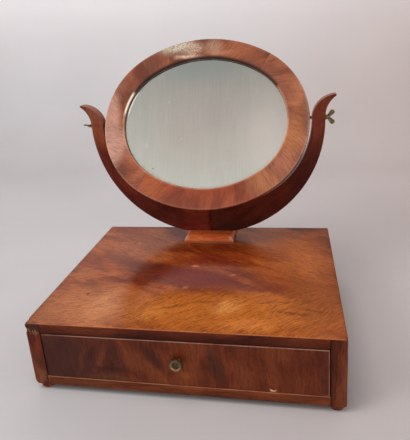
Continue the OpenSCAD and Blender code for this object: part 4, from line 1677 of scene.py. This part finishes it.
@dataclass
class Yoke:
    """The plinth and the yoke's two halves."""

    swing_gap: float = 3.0
    seat_cut: float = 5.0
    arm_w: float = 21.8
    horn_r: float = 41.0
    horn_reach: float = 17.5
    horn_start: float = 5.0
    tip: float = 2.9
    thick: float = 20.0
    face_band: float = 1.3
    plinth_round: float = 10.5
    shank_hole: float = 5.0
    seam: float = 2.0
    arm_in: float = field(init=False)
    arm_out: float = field(init=False)
    plane: Matrix = field(init=False)

    def __post_init__(self) -> None:
        """Works out the arms' radii, and finds the yoke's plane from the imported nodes."""
        self.arm_in = OVAL.width / 2 + self.swing_gap
        self.arm_out = self.arm_in + self.arm_w
        centre = low("yoke_right").z + (self.arm_out - self.seat_cut) * MM
        self.plane = Matrix.Translation((0, middle("yoke_right").y, centre)) @ UPRIGHT

    def build(self) -> None:
        """Builds and dresses the plinth and both halves."""
        self.plinth()
        self.half(Hand.LEFT, YOKE_LEFT_FINISH)
        self.half(Hand.RIGHT, YOKE_RIGHT_FINISH)
        keep(IRON_FINISH.dress(), 0.1, "yoke_screws")

    def plinth(self) -> None:
        """Builds the plinth, rounded along its four upper edges."""
        plinth = Board("yoke_plinth")
        lo, hi, bm = plinth.lo, plinth.hi, plinth.bm
        upper = plinth.edges(lambda e: all(v.co.z > hi.z - MM for v in e.verts))
        softened(bm, upper, self.plinth_round, 10)
        plinth.rule(9.0, 1.8)
        arrises = softened(bm, rims(bm, 50), 0.5)
        near(bm, "wear", arrises, 1.6)
        # Painted shade along its foot, where it stands on the top
        near(bm, "grime", [a for a in arrises if a.z < lo.z + MM], 7.0, 0.6)
        hand_in(bm, "rounded_plinth", "base", "yoke", PLINTH_FINISH.dress(self.plane),
                "yoke_plinth")

    def outline(self) -> BMesh:
        """Draws the right half: a crescent that ends in a horn.

        Returns:
            The half, as one flat face.
        """
        seat_y = self.seat_cut - self.arm_out
        seat_angle = math.asin(seat_y / self.arm_out)
        high_tip = math.pi - math.acos((self.horn_r - self.arm_w - self.horn_reach) / self.horn_r)
        tip_y = self.horn_r * math.sin(high_tip) - self.tip
        rise = tip_y - self.horn_start
        hollow_r = (self.horn_reach ** 2 + rise ** 2) / (2 * self.horn_reach)
        pen = Pen(0, seat_y).line((self.arm_out * math.cos(seat_angle), seat_y))
        pen.arc((0, 0), -math.degrees(seat_angle)).line((self.arm_out, self.horn_start))
        pen.arc((self.arm_out + hollow_r, self.horn_start),
                -math.degrees(math.asin(rise / hollow_r)))
        pen.line((self.arm_in + self.horn_r * (1 + math.cos(high_tip)), tip_y + self.tip))
        pen.arc((self.arm_in + self.horn_r, 0), 180 - math.degrees(high_tip))
        pen.arc((OVAL.end_x, 0), -OVAL.arc_angle)
        pen.arc((0, OVAL.flat_z), OVAL.arc_angle - 90)
        return pen.closed()

    def half(self, hand: Hand, finish: Mahogany) -> None:
        """Builds one half of the yoke.

        Args:
            hand: The half.
            finish: Its finish.
        """
        bm = raised(moved(self.outline(), moving(0, 0, -self.thick / 2)), self.thick)
        flat = [f for f in bm.faces if abs(f.normal.z) > 0.9]
        bmesh.ops.inset_individual(bm, faces=flat, thickness=self.face_band * MM,
                                   use_even_offset=True)
        saw_round(bm, *range(-88, 20, 4))
        arrises = softened(bm, rims(bm, 45), 0.8, 3)
        place = self.plane if hand is Hand.RIGHT else self.plane @ MIRRORED
        moved(bm, place)
        near(bm, "wear", [place @ a for a in arrises if abs(a.x) > self.seam * MM], 1.2, 0.4)
        start = pivot("mirror") + mm(hand.value * (OVAL.width / 2 - 2), 0, 0)
        bm = cut(bm, drill(start, X_AXIS * hand.value, self.shank_hole, self.arm_w + 12))
        OVAL.follow(bm, self.plane)
        name = f"yoke_{hand.word}"
        hand_in(bm, f"{name}_polished", "base", "yoke", finish.dress(self.plane), name)


@dataclass
class Mirror:
    """The leaning mirror: its four frame segments, its glass and its back."""

    lean: float = 26.5
    thick: float = 16.0
    ring_w: float = 37.4
    lip: float = 7.0
    glass_t: float = 3.0
    glass_ledge: float = 6.0
    board_ledge: float = 8.0
    outer_round: float = 2.5
    inner_round: float = 2.0
    back_bevel: float = 1.0
    rise: float = 2.0
    crown: float = 0.7
    crown_steps: int = 14
    bush_hole: float = 9.2
    bush_depth: float = 15.0
    glass_play: float = 0.1
    joint_lines: tuple[float, float] = (1.2, 2.4)
    arris_band: float = 0.3
    dim: float = 60.0
    body: str = "mirror"
    plane: Matrix = field(init=False)

    def __post_init__(self) -> None:
        """Finds the mirror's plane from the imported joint."""
        turn = Matrix.Rotation(math.radians(90 - self.lean), 4, "X")
        shift = moving(0, -self.rise, -self.thick / 2)
        self.plane = Matrix.Translation(pivot("mirror")) @ turn @ shift

    def build(self) -> None:
        """Builds and dresses the mirror."""
        self.segment("frame_top", False, 0, FRAME_TOP_FINISH)
        self.segment("frame_bottom", False, 180, FRAME_BOTTOM_FINISH)
        self.segment("frame_left", True, 180, FRAME_LEFT_FINISH)
        self.segment("frame_right", True, 0, FRAME_RIGHT_FINISH)
        self.glass()
        keep(BACK_FINISH.dress(self.plane, Grain.ACROSS), 0.5, "back_board")
        keep(IRON_FINISH.dress(), 0.15, "back_board_screws")
        for hand in Hand:
            keep(BRASS_FINISH.dress(), 0.1, f"bush_{hand.word}")

    def section(self) -> BMesh:
        """Draws the frame's section: a softly crowned face and a stepped rebate.

        Returns:
            The section's outline, with x = 0 outside.
        """
        w, edge, sight = self.ring_w, self.thick - self.crown, self.thick - self.lip
        outer, inner = edge - self.outer_round, edge - self.inner_round
        pen = Pen(-self.back_bevel, 0).line((0, self.back_bevel), (0, outer - 1.5), (0, outer))
        pen.arc((-self.outer_round, outer), 90, 18)
        for i in range(1, self.crown_steps + 1):
            share = i / self.crown_steps
            pen.line((-self.outer_round - (w - self.inner_round - self.outer_round) * share,
                      edge + self.crown * 4 * share * (1 - share)))
        pen.arc((self.inner_round - w, inner), 90, 18)
        glass_x = self.glass_ledge - w
        board_x = glass_x + self.board_ledge
        pen.line((-w, inner - 1.2), (-w, sight), (glass_x, sight), (glass_x, sight - self.glass_t),
                 (board_x, sight - self.glass_t), (board_x, 0))
        return pen.loop()

    def segment(self, node: str, is_end: bool, turn: float, finish: Mahogany) -> None:
        """Builds one segment of the frame.

        Args:
            node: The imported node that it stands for.
            is_end: True for an end arc, False for an upper or lower arc.
            turn: The turn of the whole segment, in degrees.
            finish: Its finish.
        """
        if is_end:
            radius, start, centre = OVAL.end_r, -OVAL.arc_angle, (OVAL.end_x, 0, 0)
        else:
            radius, start, centre = OVAL.flat_r, OVAL.arc_angle, (0, -OVAL.flat_z, 0)
        angle = 2 * OVAL.arc_angle if is_end else 180 - 2 * OVAL.arc_angle
        begin = Matrix.Rotation(math.radians(start), 4, "Z") @ UPRIGHT
        bm = moved(self.section(), begin @ moving(radius, 0, 0))
        first = bm.edges[:]
        made = bmesh.ops.spin(bm, geom=bm.verts[:] + bm.edges[:], cent=ORIGIN, axis=Z_AXIS,
                              dvec=ORIGIN, angle=math.radians(angle), steps=math.ceil(angle / 2),
                              use_duplicate=False)
        for ends in (first, [e for e in made["geom_last"] if isinstance(e, BMEdge)]):
            bmesh.ops.contextual_create(bm, geom=ends)
        bmesh.ops.recalc_face_normals(bm, faces=bm.faces[:])
        for close in self.joint_lines:
            away = math.degrees(close / radius)
            saw_round(bm, start + away, start + angle - away)
        joint = softened(bm, [e for f in bm.faces if len(f.verts) > 8 for e in f.edges], 0.18, 1)
        whole = Matrix.Rotation(math.radians(turn), 4, "Z") @ moving(*centre)
        outer, inner = self.arrises(bm, radius)
        dim, far = self.dim, math.inf
        # Rubbed wear with painted highlights along the outer arris and the inner arris below dim,
        # painted shade inside the lip above dim, and dark joints
        marks = [("wear", outer, -dim, dim, 1.2, 0.8), ("wear", outer, -far, far, 1.2, 0.3),
                 ("wear", inner, -far, 0, 1.2, 0.8), ("wear", inner, -far, dim, 1.2, 0.5),
                 ("grime", inner, dim, far, 6.0, 0.95), ("grime", joint, -far, far, 0.5, 0.22)]
        # A stronger painted highlight along the left segment's inner arris
        if finish is FRAME_LEFT_FINISH:
            marks.append(("wear", inner, 0, 1.3 * dim, 1.6, 1.0))
        for name, places, bottom, top, reach, most in marks:
            picked = [p for p in places if bottom < (whole @ p).y / MM < top]
            near(bm, name, picked, reach, most)
        moved(bm, self.plane @ whole)
        if is_end:
            outwards = X_AXIS if turn == 0 else -X_AXIS
            outside = pivot("mirror") + outwards * (OVAL.width / 2 + 1) * MM
            bm = cut(bm, drill(outside, -outwards, self.bush_hole, self.bush_depth))
        OVAL.follow(bm, self.plane)
        hand_in(bm, f"{node}_crossbanded", self.body, "frame", finish.dress(self.plane), node)

    def arrises(self, bm: BMesh, radius: float) -> tuple[list[Vector], list[Vector]]:
        """Finds the face's two arrises.

        Args:
            bm: The segment, about its arc's centre.
            radius: The arc's outer radius in millimetres.

        Returns:
            The places on the outer arris, and those on the inner one.
        """
        edge, band = self.thick - self.crown, self.arris_band
        outer, inner = [], []
        for v in bm.verts:
            x, z = v.co.xy.length / MM - radius, v.co.z / MM - edge
            if min(x, z) > band - self.outer_round:
                outer.append(v.co.copy())
            elif x < self.inner_round - self.ring_w - band and z > band - self.inner_round:
                inner.append(v.co.copy())
        return outer, inner

    def glass(self) -> None:
        """Builds the glass, with a fine ground arris."""
        back = self.thick - self.lip - self.glass_t
        outline = OVAL.outline(self.ring_w - self.glass_ledge + self.glass_play)
        bm = raised(moved(outline, moving(0, 0, back)), self.glass_t)
        softened(bm, rims(bm, 45), 0.2, 1)
        moved(bm, self.plane)
        pale, dark = (236, 234, 226), (120, 112, 98)
        sight = OVAL.end_r - self.ring_w
        # A painted highlight along the left lip: a bright ring on the glass, kept to one zone
        bright, clear = (Patch(-OVAL.end_x, 0, r, r, 0, (255, 255, 250), 1.0, 0.004)
                         for r in (sight - 1.7, sight - 4.1))
        finish = OldGlass(
            "old_silvered_glass", (229, 220, 212), (200, 195, 187), (224, 224, 215), dark,
            OVAL.width / 2 - self.ring_w, OVAL.height / 2 - self.ring_w,
            marks=(
                # Painted reflection: brighter on the right
                Patch(112, -14, 76, 130, 0, (252, 240, 232), 0.85, 1.0),
                # Painted reflection: darker and bluer at the top
                Patch(-20, 112, 130, 60, 0, (198, 208, 206), 0.7),
                Patch(-64, 40, 3.5, 3, 0, pale, 0.8, 0.7),
                Patch(-104, -38, 5, 7, 20, pale, 0.5, 0.7),
                Patch(-40, -28, 4, 3, 0, pale, 0.5, 0.7),
                Patch(-90, -81, 2.5, 2, 0, dark, 0.5, 0.7),
                Patch(96, 52, 4, 7, 30, pale, 0.4, 0.7),
            ),
            arc=(bright, clear, Patch(-133, 40, 14, 30, -25, pale, 1.0, 0.5)),
        )
        hand_in(bm, "silvered_glass", self.body, "glass", finish.dress(self.plane), "mirror_glass")


@dataclass
class WingScrew:
    """A cast wing screw: shank, collar, hub and two teardrop ears."""

    yoke: Yoke
    hand: Hand
    turn: float
    grip: float = 11.0
    shank_d: float = 4.9
    collar_d: float = 10.0
    collar_t: float = 1.5
    collar_gap: float = 0.3
    hub_d: float = 6.5
    hub_l: float = 4.5
    ear_d: float = 8.2
    ear_root: float = 4.4
    ear_t: float = 2.2
    ear_spread: float = 8.2
    ear_out: float = 11.6
    casting: float = 0.32

    def build(self) -> None:
        """Casts the screw in one piece and puts it in its arm."""
        end = self.yoke.arm_w + self.yoke.swing_gap + self.grip
        shank, collar, hub = self.shank_d / 2, self.collar_d / 2, self.hub_d / 2
        gap, hub_z = self.collar_gap, self.collar_gap + self.collar_t
        top = hub_z + self.hub_l
        pen = Pen(0, -end).line(
            (shank - 0.5, -end), (shank, 0.5 - end), (shank, gap), (collar - 0.3, gap),
            (collar, gap + 0.3), (collar, hub_z - 0.4), (collar - 0.5, hub_z),
            (hub + 0.3, hub_z + 0.3), (hub, top - 0.6), (hub - 0.8, top), (0, top + 0.2))
        bm = turned(pen.bm, 40)
        for lean in (Hand.RIGHT, Hand.LEFT):
            join_up(bm, self.ear(lean, hub_z + self.ear_root / 2))
        body, node = f"{self.hand.word}_screw", f"wing_screw_{self.hand.word}"
        _, y, z = pivot(body)
        moved(bm, Matrix.Translation((self.hand.value * self.yoke.arm_out * MM, y, z))
              @ Matrix.Rotation(math.radians(self.turn), 4, "X")
              @ Matrix.Rotation(math.radians(self.hand.value * 90), 4, "Y"))
        near(bm, "wear", [], 1.0)
        piece = hand_in(bm, f"cast_{node}", body, "brass", BRASS_FINISH.dress(), node)
        piece.modifiers.clear()
        modify(piece, "cast", "REMESH", mode="VOXEL", voxel_size=self.casting * MM,
               use_smooth_shade=True)
        modify(piece, "fettle", "SMOOTH", factor=0.5, iterations=3)

    def ear(self, lean: Hand, root_z: float) -> BMesh:
        """Builds one ear.

        Args:
            lean: The way it leans.
            root_z: The height of its root on the hub.

        Returns:
            The ear.
        """
        root_r, tip_r = self.ear_root / 2, self.ear_d / 2
        run, climb = self.ear_spread, self.ear_out - root_z
        heading = math.atan2(climb, run)
        spread = math.acos((root_r - tip_r) / math.hypot(run, climb))
        left, right = heading + spread, heading - spread
        pen = Pen(run + tip_r * math.cos(left), self.ear_out + tip_r * math.sin(left))
        pen.arc((run, self.ear_out), -math.degrees(2 * spread), 10)
        pen.line((root_r * math.cos(right), root_z + root_r * math.sin(right)))
        pen.arc((0, root_z), math.degrees(2 * spread) - 360, 15)
        bm = raised(moved(pen.closed(), moving(0, 0, -self.ear_t / 2)), self.ear_t)
        softened(bm, rims(bm, 45), 0.6)
        return moved(bm, UPRIGHT if lean is Hand.RIGHT else UPRIGHT @ MIRRORED)


def main() -> None:
    """Builds the studio and every sub-assembly."""
    logging.basicConfig(level=logging.INFO, format="%(name)s: %(message)s")
    yoke = Yoke()
    for part in (Studio(), Box(), Drawer(), yoke, Mirror(), WingScrew(yoke, Hand.LEFT, 70.0),
                 WingScrew(yoke, Hand.RIGHT, 0.0)):
        part.build()


if __name__ == "__main__":
    main()
